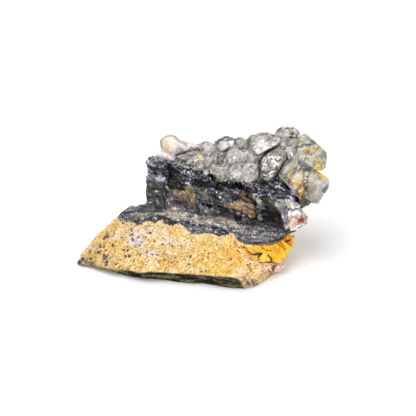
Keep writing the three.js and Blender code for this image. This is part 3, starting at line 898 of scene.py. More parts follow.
# Marks on the crust: outline, edge in pixels, how ragged, colour, how fully it covers.
CRUST_MARKS = [
    ((280, 230, 298, 229, 297, 236, 286, 241, 277, 244), 3, 2, 0xCE8A2A, 0.6),
    ((286, 240, 292, 238, 290, 243, 285, 243), 1.5, 1, 0x8E5A22, 0.7),
    ((240, 244, 256, 247, 262, 252, 250, 253), 2, 1, 0xE4B83C, 0.7), (BELOW_CRUST, 0.8, 0.8, 0xF4D4A4, 1),
    (ABOVE_CONTACT, 0.8, 0.8, 0x626066, 1),
    ((282.6, 233.4, 287.6, 233, 288, 236, 284, 237), 1, 0.6, 0x2E2218, 0.95),
]


def make_crust():
    """The yellow crust: lumpy, with open cracks, and set back where the stone shows below it."""
    piece = copy_of("ochre_crust", "ochre_crust_plate")
    remesh(piece, CRUST_VOXEL)
    points, normals = points_of(piece), normals_of(piece)
    lift = 0.35 * noise(points, 3, seed=21) - 0.3 * np.abs(noise(points, 2.2, seed=22))
    lift += 0.12 * noise(points, 0.7, seed=23, octaves=1)
    ragged = np.stack([noise(points, 1.6, seed=24), noise(points, 1.6, seed=25)], 1)
    pixels = pixels_of(points) + 0.6 * ragged
    crack = strongest(along(pixels, corners, width) for corners, width in CRUST_CRACKS)
    below = inside(pixels, BELOW_CRUST, 1.0) * facing_eye(normals)
    points += normals * (lift - crack * 0.5 - below * 0.8)[:, None]
    move_points(piece, points)
    paint = Paint(piece)
    for outline, soft, wobble, hex_code, strength in CRUST_MARKS:
        paint.lay(paint.where(outline, soft, wobble), hex_code, strength)
    # Painted shade in the crust's cracks.
    for corners, width in CRUST_CRACKS:
        paint.darken(paint.line(corners, width), 0.08)
    paint.store()
    finish_piece(piece, ochre_look(), "ochre_crust")
    return piece


# ---------------------------------------------------------------- galena
# The parts of the wall and the ledge, as they are seen.
BROW = (
    163, 161, 175, 160, 192, 166, 205, 171, 217, 174, 222, 184, 220, 200, 208, 193, 196, 187, 184, 187, 174,
    176,
)
TEETH = (
    250, 180, 258, 179, 275, 177, 283, 178, 290, 184, 297, 190, 300, 198, 297, 201, 287, 201, 276, 200, 268,
    196, 258, 192, 251, 190,
)
PILLAR_HEAD = (
    145, 163, 147, 159, 151, 156.5, 160, 156.5, 164, 161, 167, 167, 165, 173, 155, 172, 149, 171, 146, 167,
)
CHUNK = (219, 184, 228, 184, 238, 188, 243, 200, 236, 204, 226, 201, 219, 200)
RIGHT_SEAM = (
    300, 160, 308, 166, 311, 170, 311, 178, 307, 183, 306, 197, 311, 203, 301, 209, 302, 198, 305, 180,
)
DARK_LEDGE = (
    110, 222, 124, 210, 146, 208, 152, 214, 166, 218, 180, 226, 205, 232, 235, 236, 236, 242, 200, 238, 160,
    232, 124, 228,
)
TAN_LEDGE = (
    130, 213, 147, 213, 158, 212, 167, 211, 171, 206, 175, 202.6, 179, 208, 186, 211.6, 192, 214, 204, 217,
    218, 216, 224, 218, 232, 220, 246, 229, 238, 232, 224, 227, 204, 225.4, 191, 221.4, 177, 219.6, 162,
    215.6, 148, 217, 132, 217,
)
GREY_LEDGE = (240, 224, 262, 226, 284, 231, 286, 236, 275, 243, 262, 245, 246, 245, 236, 238, 228, 230)
PILLAR_FACE = (
    147, 180, 164, 181, 169, 186, 171, 192, 172, 198, 168, 205, 165, 210, 157, 213, 145, 211, 146, 195,
)
RECESS_BROWN = (
    170, 191, 176, 190, 181, 187, 187, 185, 192, 187, 196, 190, 196, 198, 195, 204, 190, 202, 183, 201, 177,
    199, 173, 195,
)
# A recess beside the pillar, sunk and painted black as shade.
SHADED_RECESS = (
    165, 167, 170, 164, 175, 167, 179, 173, 184, 181, 186, 187, 184, 191, 180, 188, 176, 180, 170, 176,
)
CAVE = (262, 210, 268, 208, 274, 209, 279, 211, 283, 218, 286, 230, 277, 229, 268, 224, 262, 217)
BUTTRESS = (
    276, 199, 281, 199, 286, 202, 288, 198, 296, 202, 302, 206, 302, 211, 298, 213, 292, 216, 289, 223, 287,
    229, 285, 231, 284, 222, 281, 213, 277, 209, 275, 205,
)
# Two rounded lumps at the left end, each with its colour.
BOULDERS = [
    ((129, 207, 132, 205.4, 136, 205.6, 137.6, 209, 135, 212, 130, 211.6), 0x8A8892),
    ((137, 206, 140, 204.4, 144, 205, 144.6, 210, 141, 212.6, 137, 211), 0x3E3E3E),
]
# Parts that are broken in small cubes, and parts that are smooth plates.
GRANULAR = [BROW, TEETH, PILLAR_HEAD, CHUNK, RIGHT_SEAM]
PLATED = [
    PILLAR_FACE, RECESS_BROWN, (166, 167, 174, 165, 184, 184, 170, 190),
    (195, 188, 222, 204, 262, 204, 262, 222, 226, 214, 195, 214), CAVE,
]

# Each mark: outline, colour, how fully it covers the metal, edge in pixels. Later marks lie on top. Most are
# the galena's own colours and dust; a few are painted shade or painted highlights, as noted.
GALENA_MARKS = [
    (BROW, 0x4A4A50, 0.5, 3), (PILLAR_HEAD, 0x9C9AA6, 0.7, 2), (CHUNK, 0x7C7A84, 0.5, 2),
    (TEETH, 0xC4C2CE, 0.55, 2), (DARK_LEDGE, 0x626062, 0.65, 3), (GREY_LEDGE, 0x959090, 0.85, 4),
    ((172, 152, 195, 152, 195, 168, 180, 166), 0x8A8884, 0.7, 3),
    ((180, 222, 205, 230, 228, 234, 232, 238, 205, 237, 184, 234), 0x88868E, 0.7, 3),
    (TAN_LEDGE, 0xC4BAAE, 0.85, 2),
    ((166, 212, 172, 204, 176, 203, 182, 210, 192, 216, 182, 219, 168, 215), 0xC2B6A2, 0.9, 2.5),
    ((176, 199, 184, 201, 196, 203, 196, 213, 193, 217, 187, 211, 181, 206), 0x766A62, 0.95, 2),
    ((170, 190, 176, 190, 181, 188, 183, 192, 183, 199, 176, 198, 172, 195), 0xB09480, 0.95, 2),
    (RECESS_BROWN, 0xBAA08A, 0.7, 2.5),
    ((183, 187.6, 188, 185.6, 194, 189, 195.6, 196, 188, 198, 183, 196), 0xD0B088, 0.9, 2),
    # Painted shade in the lower part of the recess.
    ((166, 177, 176, 176, 182, 184, 184, 190, 178, 191, 170, 190), 0x46403F, 0.85, 2),
    # A painted highlight: the lilac strip below the pillar's head.
    ((147, 174, 160, 174, 166, 176.6, 168, 184, 163, 183, 155, 181, 147, 181), 0xA6A4B8, 0.95, 1.5),
    (PILLAR_FACE, 0x474943, 0.9, 2), ((146, 202, 153, 202, 155, 209, 147, 211), 0x74757E, 0.8, 1.5),
    ((155, 199, 162, 200, 163, 206, 156, 206), 0x54564E, 0.5, 2),
    # Painted highlights along the pillar's right edge.
    ((168, 188, 171, 190, 180, 205, 194, 215, 192, 217, 178, 209, 169, 204), 0x8C8A9A, 0.7, 1.5),
    ((166, 199, 170, 197, 174, 200, 170, 207, 165, 209), 0xA4A4AE, 0.8, 1.2),
    # Painted shade under the brow.
    ((190, 186, 200, 186, 208, 190, 214, 196, 218, 204, 213, 202, 207, 197, 198, 190), 0x3B362E, 0.9, 1.5),
    ((196, 189.6, 200, 190, 206, 193, 210.6, 198.6, 204, 199.4, 197, 198), 0x7C827A, 0.95, 1),
    ((203, 200.6, 215, 202.4, 216.6, 205, 209, 204), 0x8C9A88, 0.9, 1),
    ((196, 206, 208, 208, 216, 211, 212, 217, 200, 216, 196, 211), 0x6C6F6A, 0.9, 2),
    ((218, 203, 224, 204.6, 227, 211.6, 221, 209), 0x42686A, 0.85, 1.2),
    ((217, 184, 226, 186, 236, 190, 242, 200, 236, 203, 226, 200, 218, 196), 0x84828E, 0.4, 2),
    ((233, 191, 238, 192, 243, 200, 240, 202.6, 235, 198), 0xA6A4B2, 0.8, 1.5),
    ((237, 191, 243, 191, 250, 197, 254, 206, 246, 203, 240, 199), 0x5A4430, 0.95, 1.2),
    ((225, 204, 229, 202, 233, 200.4, 238, 202.4, 246, 203, 250, 206, 253.6, 208, 255.4, 214.6, 253.4, 217.6,
     248, 215, 240, 211.6, 231, 208), 0xC09E78, 1, 1),
    ((241, 211, 247, 209, 253, 210, 255, 214.6, 253.4, 217, 248, 214.6), 0xD4AC7C, 0.9, 1.2),
    ((225, 203.4, 230, 203, 231, 206, 227, 206), 0xC48C50, 0.8, 1),
    ((232, 200.4, 235, 199.6, 238, 203, 234, 203.6), 0xA07E5E, 0.9, 1),
    ((216, 212, 228, 214, 246, 218, 262, 224, 276, 231, 262, 228, 240, 222, 224, 218), 0x47443F, 0.85, 2),
    ((256, 209, 263, 209, 264, 215, 257, 216), 0x5A5C6E, 0.8, 1.5),
    ((257, 205.4, 265, 205.4, 265, 208.6, 258, 209), 0x9E9CAC, 0.9, 1),
    ((257, 218.4, 260, 215, 263, 214.4, 262, 218, 259, 220), 0xAAAD9E, 1, 0.8),
    ((263, 198, 269, 196.4, 275, 200, 277.6, 207, 271, 210, 265, 206), 0x4C4934, 0.95, 1.2),
    # The cave, painted dark as shade.
    (CAVE, 0x3A332B, 0.95, 1.5), ((270, 211, 278, 211, 284, 222, 284, 229, 276, 224), 0x463C33, 0.9, 1.5),
    (BUTTRESS, 0xE0DCE2, 0.95, 1.5),
    ((275, 199, 282, 200, 286, 206, 286, 213, 281, 211, 277, 206), 0x84808C, 0.9, 1.5),
    ((287, 204, 293, 203, 302, 207, 302, 213, 294, 216, 288, 216), 0xFFFCFC, 1, 1.2),
    ((283.4, 212, 288.6, 212, 288.4, 228, 285.6, 231, 284.6, 222), 0x9C98A8, 0.9, 1),
    ((283, 206, 287, 208, 287, 214, 283, 212), 0x55535E, 0.8, 1),
    ((285, 203.5, 287, 204, 286.5, 206.5, 284.5, 206), 0xD2BC38, 1, 0.8),
    ((298, 202, 312, 200, 309, 206, 300, 209), 0x6E6258, 0.95, 1.2),
    ((284, 230, 297, 230, 297, 236, 285, 240), 0x4E3426, 0.9, 1.5),
    ((148, 216, 158, 215.4, 170, 218, 178, 223, 166, 224, 150, 222), 0x35332F, 0.9, 1.5),
    *((outline, hex_code, 0.9, 1) for outline, hex_code in BOULDERS),
    ((264, 173, 276, 172, 284, 180, 293, 187, 296, 195, 282, 194, 270, 186), 0xD4D0D8, 0.55, 2),
    ((215, 208, 224, 208, 232, 211, 234, 219, 219, 218), 0xA4A29E, 0.6, 2),
]
# Thin streaks: stains of colour, dark lines, and light lilac and white lines that are painted highlights and
# glints on the metal: the corners of the line, its half width in pixels, its colour.
GALENA_STREAKS_AND_GLINTS = [
    ((241.4, 192.6, 244, 194, 246.4, 196.4), 0.5, 0xC8925A),
    ((244, 198, 246.6, 199, 249, 201), 0.6, 0xC8925A), ((250, 204, 253, 206, 256, 209.6), 0.5, 0xC89054),
    ((244.6, 203, 247, 206, 248.4, 209), 0.4, 0x5A4430),
    ((247.6, 203, 250.4, 206.6, 251.6, 209.6), 0.4, 0x5A4430),
    ((202, 201, 208, 201.6, 215, 203.4), 0.5, 0xA6B49C),
    ((215.4, 203, 216.6, 206, 216.8, 208.6), 0.5, 0x8C9480),
    ((249, 190, 251, 193.6, 253, 199), 0.9, 0x9896A4), ((280, 181.6, 285, 183, 290, 187), 1.1, 0xC4C2CC),
    ((276, 186, 281, 189, 286, 190.6), 0.8, 0xA8A6B4), ((284, 188, 289, 190, 294, 193.4), 0.9, 0xB8B6C4),
    ((279, 192, 285, 194, 290, 197), 0.8, 0x9A98A6), ((285, 199, 286.6, 201.6), 0.8, 0xE8E8F0),
    ((271, 182, 275, 184, 278, 188), 0.7, 0x8E8C98), ((252, 184, 256, 186, 261, 190), 0.7, 0x807E8A),
    ((270, 190, 275, 193, 280, 196), 0.7, 0x9290A0), ((262, 235, 265, 233, 268, 235), 0.8, 0xB4B6B8),
    ((262, 238.6, 268, 239, 274, 238), 0.7, 0xA2A0AC), ((290, 206, 292, 210, 291, 214), 0.6, 0x8E8A96),
    ((289, 218, 288, 223, 286.6, 228), 0.6, 0xC8C4CE), ((166, 186.6, 167.6, 188.6), 1, 0xF2F2EC),
    ((155.4, 191, 157, 191.6), 0.8, 0xE6E6E0), ((164, 194, 166, 197, 168, 199), 0.4, 0xC4C8CA),
    ((157, 200, 158, 203), 0.6, 0xC6CEBC), ((149, 203, 151, 202.6), 0.8, 0xD2D2D6),
    ((169, 189, 170.6, 192), 0.7, 0xC8C8D0), ((168, 201, 169.4, 204), 0.8, 0xE0E0E6),
    ((172, 198, 174, 200.6), 0.8, 0xB8B6C8), ((151.6, 164, 154, 166), 0.7, 0xD4D4DA),
    ((174.6, 167, 176, 170), 0.7, 0xC8C8D2), ((183.6, 170.6, 185.4, 170), 0.7, 0xF4F4F8),
    ((186, 167, 187.6, 169), 0.5, 0xD0D0D6), ((136, 208.6, 134, 211, 131, 212), 0.4, 0x35353A),
    ((130, 207, 133, 205.6, 136, 206.2), 0.5, 0xA8A6B0), ((141, 217.6, 143, 219), 0.9, 0xC4C4C8),
    ((154, 218, 156, 219), 0.9, 0xD8D8DC), ((121, 218.6, 124, 219.6), 1, 0xA8A8B4),
    ((214, 222.6, 215.6, 224), 0.9, 0xD0CEC8), ((196.6, 199.6, 197.6, 203), 0.7, 0xA8A8C0),
    ((180, 206, 184, 209), 0.6, 0xA8A6B6),
]
# Deep cracks and gaps between plates, sunk into the rock and painted dark as shade, and how dark the painted
# shade is.
GALENA_GAPS = [
    (SHADED_RECESS, 0.3, 2), ((196, 198.4, 205, 200, 217, 203, 216, 204.6, 204, 202.5, 196, 200.5), 0.2, 0.8),
    ((200, 203, 208, 204, 217, 207, 228, 210.5, 226, 212, 214, 209.5, 203, 206), 0.35, 1),
    ((226, 180.5, 240, 181.5, 248, 187, 256, 200, 258, 208, 254, 205, 247, 196, 240, 190, 230, 186), 0.3,
     1.5), ((262, 209, 272, 212, 274, 222, 286, 231, 272, 226, 262, 217), 0.4, 2),
    ((264, 199, 266, 199, 270, 210, 266, 209), 0.4, 1.2),
    ((258, 179.5, 268, 180, 268, 184, 258, 184), 0.25, 1),
    ((262, 188, 272, 189, 273, 194, 264, 194), 0.3, 1.2),
    ((275, 196, 285, 196.4, 286, 200, 281, 199, 275, 198.6), 0.12, 0.8),
    ((279, 184, 283, 184, 291, 189, 290, 191, 281, 187), 0.3, 1),
    ((295, 196, 301, 197, 301, 201, 295, 200.6), 0.12, 1),
    ((176, 166, 184, 168, 180, 173, 174, 171), 0.5, 1.5),
    ((196, 171, 204, 172, 201, 176, 195, 175), 0.5, 1.5),
    ((218, 176, 222, 184, 221, 194, 217, 186), 0.5, 1.5),
    ((234, 216, 252, 222, 262, 226, 250, 224, 236, 220), 0.4, 1),
    ((206, 224, 214, 226, 220, 231, 212, 229), 0.5, 1), ((190, 230, 194, 231, 193, 234, 189, 233), 0.4, 1),
    ((168, 176, 174, 175, 181, 184, 182.6, 191, 178, 191, 170, 184), 0.6, 1.5),
]
# Thin cracks, sunk into the rock and painted dark as shade: the corners of the line, its half width in
# pixels.
GALENA_CRACKS = [
    ((150, 171.4, 156, 173, 162, 174.4, 167, 176), 0.7),
    ((147, 187, 151, 188.4, 156, 189, 160.6, 189.6), 0.8), ((147, 196, 152, 197, 158, 196.6), 0.4),
    ((167, 178, 169.4, 184, 172, 191), 0.5), ((258, 231, 268, 231, 277, 231.6, 285, 232), 0.6),
    ((268, 236, 275, 238, 280, 239.6), 0.6), ((218, 222, 226, 225, 232, 230), 0.5),
    ((240, 226, 248, 229, 254, 233), 0.4), ((205, 205, 214, 208, 226, 211.6), 0.6),
    ((262, 196, 265, 201, 266, 205), 0.6), ((271, 186, 276, 188.6, 282, 190), 0.8),
    ((283, 182, 287, 186, 293, 189), 0.7), ((266, 183, 271, 188, 277, 192), 0.8),
    ((287, 192, 292, 196, 297, 197), 0.8),
]


def clusters(points):
    """High in the clusters of cleavage faces, low in the gaps between them."""
    return noise(drawn_out(points, STRATA, 1.7), 1.4, seed=91)


def cluster_shade_and_highlights(points, share):
    """Painted light of broken galena: black painted shade in the gaps, and painted highlights on the clusters
    of cleavage faces between them.
    """
    return 1 + share * (np.clip(0.75 + 2.0 * clusters(points), 0.12, 1.6) - 1)


def paint_galena(piece, wobble, strength=1.0):
    """Dust, stains and plates of the galena as they are seen, with painted highlights and glints, and painted
    shade in its gaps, cracks, recesses and cave.
    """
    paint = Paint(piece)
    streaks = 0.85 + 0.3 * noise(drawn_out(paint.points, STRATA, 1.6), 0.8, seed=41)
    for outline, hex_code, cover, soft in GALENA_MARKS:
        paint.lay(paint.where(outline, soft, wobble) * streaks, hex_code, cover * strength)
    for corners, width, hex_code in GALENA_STREAKS_AND_GLINTS:
        paint.lay(paint.line(corners, width), hex_code, strength)
    paint.lay(paint.where(BELOW_CONTACT, 0.8, 1.0), 0xF2D8A0, 1.0)
    granular = strongest(inside(paint.pixels, outline, 3) for outline in GRANULAR)
    below = inside(paint.pixels, BELOW_CONTACT, 1)
    # Painted shade in the gaps and painted highlights on the clusters, strongest on the granular parts.
    paint.shade *= cluster_shade_and_highlights(paint.points, (0.35 + 0.65 * granular) * (1 - 0.7 * below))
    # Painted shade in the gaps, the recesses and the cave.
    for outline, to, soft in GALENA_GAPS:
        paint.darken(paint.where(outline, soft, 0.9), to)
    # Painted shade in the thin cracks.
    for corners, width in GALENA_CRACKS:
        paint.darken(paint.line(corners, width), 0.12)
    paint.store()


# Top edge of the ledge at the left, and of the pillar, as they are seen.
LEDGE_TOP = (
    110, 223, 118, 217, 124, 212.5, 128, 207.2, 131, 205.4, 135, 205.6, 138, 207, 141, 205, 144, 204.4, 148,
    204.6,
)
PILLAR_TOP = (
    138, 170, 145, 163.4, 146.4, 160, 149, 157.4, 152, 156.4, 157, 156, 160, 157, 163, 158, 166, 160,
)


def beyond(points, line):
    """How far, in millimetres, points are seen below a line of pixels; less than nothing is above it."""
    corners = rows(line)
    pixels = pixels_of(points)
    edge = np.interp(pixels[:, 0], corners[:, 0], corners[:, 1])
    within = np.clip(pixels[:, 0] - corners[0, 0], 0, 2) * np.clip(corners[-1, 0] - pixels[:, 0], 0, 2) / 4
    return (pixels[:, 1] - edge) * within * PIXEL_MM


def lowered(points, line):
    """Points moved down in the view until none stands above a line of pixels."""
    return points + np.minimum(beyond(points, line), 0)[:, None] * UP


def kept_above(points, line):
    """Points moved up in the view until none hangs below a line of pixels."""
    return points + np.maximum(beyond(points, line), 0)[:, None] * UP


def make_galena():
    """The wall and the ledge: plates along the strata, cracks, and steps where it broke in cubes."""
    piece = copy_of("galena_mass", "galena_rock")
    remesh(piece, ROCK_VOXEL)
    points, normals = points_of(piece), normals_of(piece)
    pixels = pixels_of(points)
    facing = facing_eye(normals)
    granular = strongest(inside(pixels, outline, 4) for outline in GRANULAR)
    plated = strongest(inside(pixels, outline, 4) for outline in PLATED) * facing
    gaps = strongest(inside(pixels, outline, 1.5) * (1 - to) for outline, to, _ in GALENA_GAPS) * facing
    cracks = strongest(along(pixels, corners, width) for corners, width in GALENA_CRACKS) * facing
    lumps = [outline for outline, _ in BOULDERS] + [PILLAR_HEAD]
    round_parts = strongest(inside(pixels, outline, 2) for outline in lumps)
    ledge = np.clip((15.5 - points[:, 2]) / 1.5, 0, 1)
    flat = np.clip((points[:, 2] - CONTACT_Z) / 0.8, 0, 1)  # the contact with the sandstone stays flat
    strata = noise(drawn_out(points, STRATA, 5), 1.3, seed=35)
    lift = 0.35 * noise(points, 5, seed=31) + 0.25 * noise(points, 1.8, seed=32) * (1 - plated)
    lift += 0.4 * strata * plated
    lift *= 1 - 0.6 * inside(pixels, PILLAR_FACE, 4) * facing
    lift += 0.5 * clusters(points) * granular * facing
    points += normals * ((lift - 0.8 * gaps - 0.4 * cracks) * flat)[:, None]
    coarse = cleaved(points, grain=6.0, step=1.1, spread=50, amount=0.7, seed=33)
    fine = cleaved(points, grain=1.6, step=0.7, spread=300, amount=0.7, seed=34)
    share = np.clip(granular + ledge, 0, 1)[:, None]
    stepped = coarse + (fine - coarse) * share
    points += (stepped - points) * (flat * (1 - 0.85 * np.maximum(plated, 0.8 * round_parts)))[:, None]
    points[:, 2] = np.maximum(points[:, 2], CONTACT_Z)
    pillar_from, ledge_below, reach = 26, 18, 2.4
    head = points[:, 2] > pillar_from
    points[head] = lowered(points[head], PILLAR_TOP)
    foot = (points[:, 2] < ledge_below) & (points[:, 2] > CONTACT_Z + 0.1)
    foot &= beyond(points, LEDGE_TOP) > -reach
    points[foot] = lowered(points[foot], LEDGE_TOP)
    points[:, 2] = np.maximum(points[:, 2], CONTACT_Z)
    move_points(piece, points)
    paint_galena(piece, 1.2)
    finish_piece(piece, galena_look(), "galena_mass")
    return piece


# Where cubes and plates of galena stand out: outline, how many, half size, length of the plates.
GRAIN_FIELDS = [
    (BROW, 420, 0.3, 1.4), (TEETH, 300, 0.42, 2), (PILLAR_HEAD, 120, 0.18, 1), (CHUNK, 140, 0.28, 1.2),
    (DARK_LEDGE, 380, 0.3, 1.2), (GREY_LEDGE, 240, 0.26, 1.2), (BUTTRESS, 90, 0.26, 1.4),
]


def make_galena_grains(galena, tree, rng):
    """Small cubes and plates of galena that stand out of the granular parts, and a few everywhere else."""
    spots, normals, half = [], [], []
    for outline, count, size, plate in GRAIN_FIELDS:
        found = seen_at(tree, random_in(outline, count, rng))
        spots.append(found[0])
        normals.append(found[1])
        each = rng.uniform(0.4, 1.0, (len(found[0]), 1)) * size
        half.append(each * rng.uniform([0.8, 0.5, 0.5], [plate, 1, 1], (len(found[0]), 3)))
    around, outward = scattered(galena, 2600, rng)
    kept = (around[:, 2] > CONTACT_Z + 0.6) & (outward @ BACK < 0.1)
    spots = np.concatenate([*spots, around[kept]])
    normals = np.concatenate([*normals, outward[kept]])
    half = np.concatenate([*half, random_sizes(kept.sum(), 0.12, 0.26, 0.3, rng)])
    stands_out = clusters(spots) > -0.25
    spots, normals, half = spots[stands_out], normals[stands_out], half[stands_out]
    _, random, _ = grains(spots, 2.6, seed=51)
    angles = (random - 0.5) * 3 + rng.normal(0, 0.2, (len(spots), 3))
    spots = spots - normals * half.min(1)[:, None] * 0.5
    piece = many_blocks("galena_grains", spots, half, rng, ragged=0.1, angles=angles)
    paint_galena(piece, 0.5, 0.6)
    finish_piece(piece, galena_grain_look())


# Corners of the galena between the crystals: pixel across, pixel down, millimetres nearer than the middle.
SEAM_CORNERS = (
    300, 161.6, 0, 303.6, 162.4, 0, 308, 165.4, 0, 311, 169, 0, 311.6, 179, 0, 308.6, 185, 0, 308, 196, 0,
    312, 203, 0, 303, 209, 0, 299, 202, 0, 302, 186, 0, 303, 172, 0, 306, 168, 0.6, 307, 178, 0.7, 305.4, 192,
    0.6, 305, 203.4, 1, 302, 164, -4, 309, 172, -4, 308, 200, -4, 301, 198, -4,
)


def make_seam(galena):
    """Galena that fills the gap between the crystals on the right."""
    piece = carved("galena_seam", STREAKED_AT, SEAM_CORNERS)
    remesh(piece, SEAM_VOXEL)
    points, normals = points_of(piece), normals_of(piece)
    points += normals * (0.5 * noise(points, 1.8, seed=36))[:, None]
    move_points(piece, cleaved(points, grain=1.5, step=0.7, spread=300, amount=0.7, seed=37))
    paint = Paint(piece)
    paint.lay(paint.where(RIGHT_SEAM, 3, 1), 0xA49E9A, 0.85)
    paint.lay(paint.where((300, 172, 311, 172, 311, 200, 300, 200), 2, 1), 0xC8BEB2, 0.9)
    paint.shade *= np.clip(0.85 + 1.5 * noise(paint.points, 0.9, seed=38, octaves=2), 0.2, 1.5)
    foot = paint.where((296, 198, 312, 197, 313, 206, 300, 211), 2, 1)
    paint.lay(foot, 0x6E6258, 0.95)
    paint.darken(foot, 0.7)
    paint.store()
    finish_piece(piece, galena.data.materials[0])


def make_specks(tree, rng):
    """Dark grains of galena in the sandstone: large ones of three blocks each, and small ones strewn."""
    large = np.repeat(rows(SPECKS, 3), 3, 0)
    large[:, :2] += rng.uniform(-0.3, 0.3, (len(large), 2)) * large[:, 2:]
    left_half = (84, 262, 104, 232, 128, 226, 160, 232, 180, 262, 130, 268)
    right_half = (160, 232, 240, 244, 250, 270, 160, 268)
    small, stray = random_in(left_half, 56, rng), random_in(right_half, 14, rng)
    spots, normals = seen_at(tree, np.concatenate([large[:, :2], small, stray]))
    half = random_sizes(len(spots), 0.12, 0.22, 0.4, rng)
    wide = large[:, 2:] * PIXEL_MM / 2 * rng.uniform(0.7, 1.25, (len(large), 3))
    half[:len(large)] = wide * [0.7, 0.7, 0.45]
    spots = spots - normals * half.min(1)[:, None] * 0.6
    piece = many_blocks("galena_specks", spots, half, rng, cut=0.5, ragged=0.3)
    finish_piece(piece, speck_look())


def make_sand(tree, rng):
    """Loose sand along the contact, which gives the yellow face its ragged upper edge."""
    line = rows(CONTACT_LINE)[:-4]
    along_line, left_part = 520, 300
    anywhere, at_left = rng.uniform(0, len(line) - 1.001, along_line), rng.uniform(1, 18, left_part)
    places = np.concatenate([anywhere, at_left])
    start = places.astype(int)
    pixels = line[start] + (line[start + 1] - line[start]) * (places - start)[:, None]
    pixels += rng.normal(0, [0.8, 0.7], pixels.shape)
    pixels[:, 1] += 1.0
    pixels[along_line:, 1] += rng.uniform(0, 5, left_part)
    spots, normals = seen_at(tree, pixels)
    half = random_sizes(len(spots), 0.13, 0.3, 0.3, rng)
    sunk = 0.08
    piece = many_blocks("contact_sand", spots - normals * sunk, half, rng, cut=0.5, ragged=0.2)
    finish_piece(piece, sand_look())


# ---------------------------------------------------------------- crystals
def carved(name, anchor, corners):
    """A crystal with flat faces between its corners: pixel across, pixel down, millimetres nearer."""
    points = [spot_at(corner[:2], anchor, corner[2]) for corner in rows(corners, 3)]
    piece = new_piece(name, points, [])
    shape = bmesh.new()
    shape.from_mesh(piece.data)
    hull = bmesh.ops.convex_hull(shape, input=shape.verts)
    inner = {part for part in hull["geom_interior"] + hull["geom_unused"]
             if isinstance(part, bmesh.types.BMVert)}
    bmesh.ops.delete(shape, geom=list(inner), context="VERTS")
    nearly_flat = math.radians(6)
    bmesh.ops.dissolve_limit(shape, angle_limit=nearly_flat, verts=shape.verts, edges=shape.edges)
    bmesh.ops.recalc_face_normals(shape, faces=shape.faces)
    shape.to_mesh(piece.data)
    shape.free()
    return piece


def twin_of(piece, name):
    """A second piece with a mesh of its own, the same as this one's."""
    mesh = piece.data.copy()
    mesh.name = name
    twin = bpy.data.objects.new(name, mesh)
    bpy.context.scene.collection.objects.link(twin)
    return twin


def paint_stains(piece, stains, lines=()):
    """Stains with ragged edges, and thin lines over them; some of the lists also hold painted shade,
    highlights and glints.
    """
    paint = Paint(piece)
    ragged = 0.75 + 0.5 * noise(paint.points, 0.9, seed=17)
    for outline, hex_code, strength, soft in stains:
        paint.lay(paint.where(outline, soft, 0.8) * ragged, hex_code, strength)
    for corners, width, hex_code in lines:
        paint.lay(paint.line(corners, width), hex_code)
    paint.store()


def finish_shell(piece, material, node=None, bevel=0.22, stains=(), lines=(), longest=0.32, edge=None):
    """Bevels a crystal's edges, and divides its flat faces finely enough to carry its stains."""
    apply_modifier(piece, "BEVEL", width=bevel * MM, segments=1, limit_method="ANGLE",
                   angle_limit=math.radians(14), use_clamp_overlap=True, material=1 if edge else -1)
    divide_finely(piece, longest)
    paint_stains(piece, stains, lines)
    finish_piece(piece, material, node, edge=edge)


def make_heart(piece, material, inset, chip, tilt, seed, folds=()):
    """The broken inside of a crystal: smaller than its shell, and chipped flat."""
    remesh(piece, HEART_VOXEL)
    points, normals = points_of(piece), normals_of(piece)
    lift = np.clip(chipped(points, chip, tilt, seed), -inset, inset) * 0.8
    points += normals * (lift - inset)[:, None]
    move_points(piece, points)
    if folds:
        paint_stains(piece, folds)
    finish_piece(piece, material)


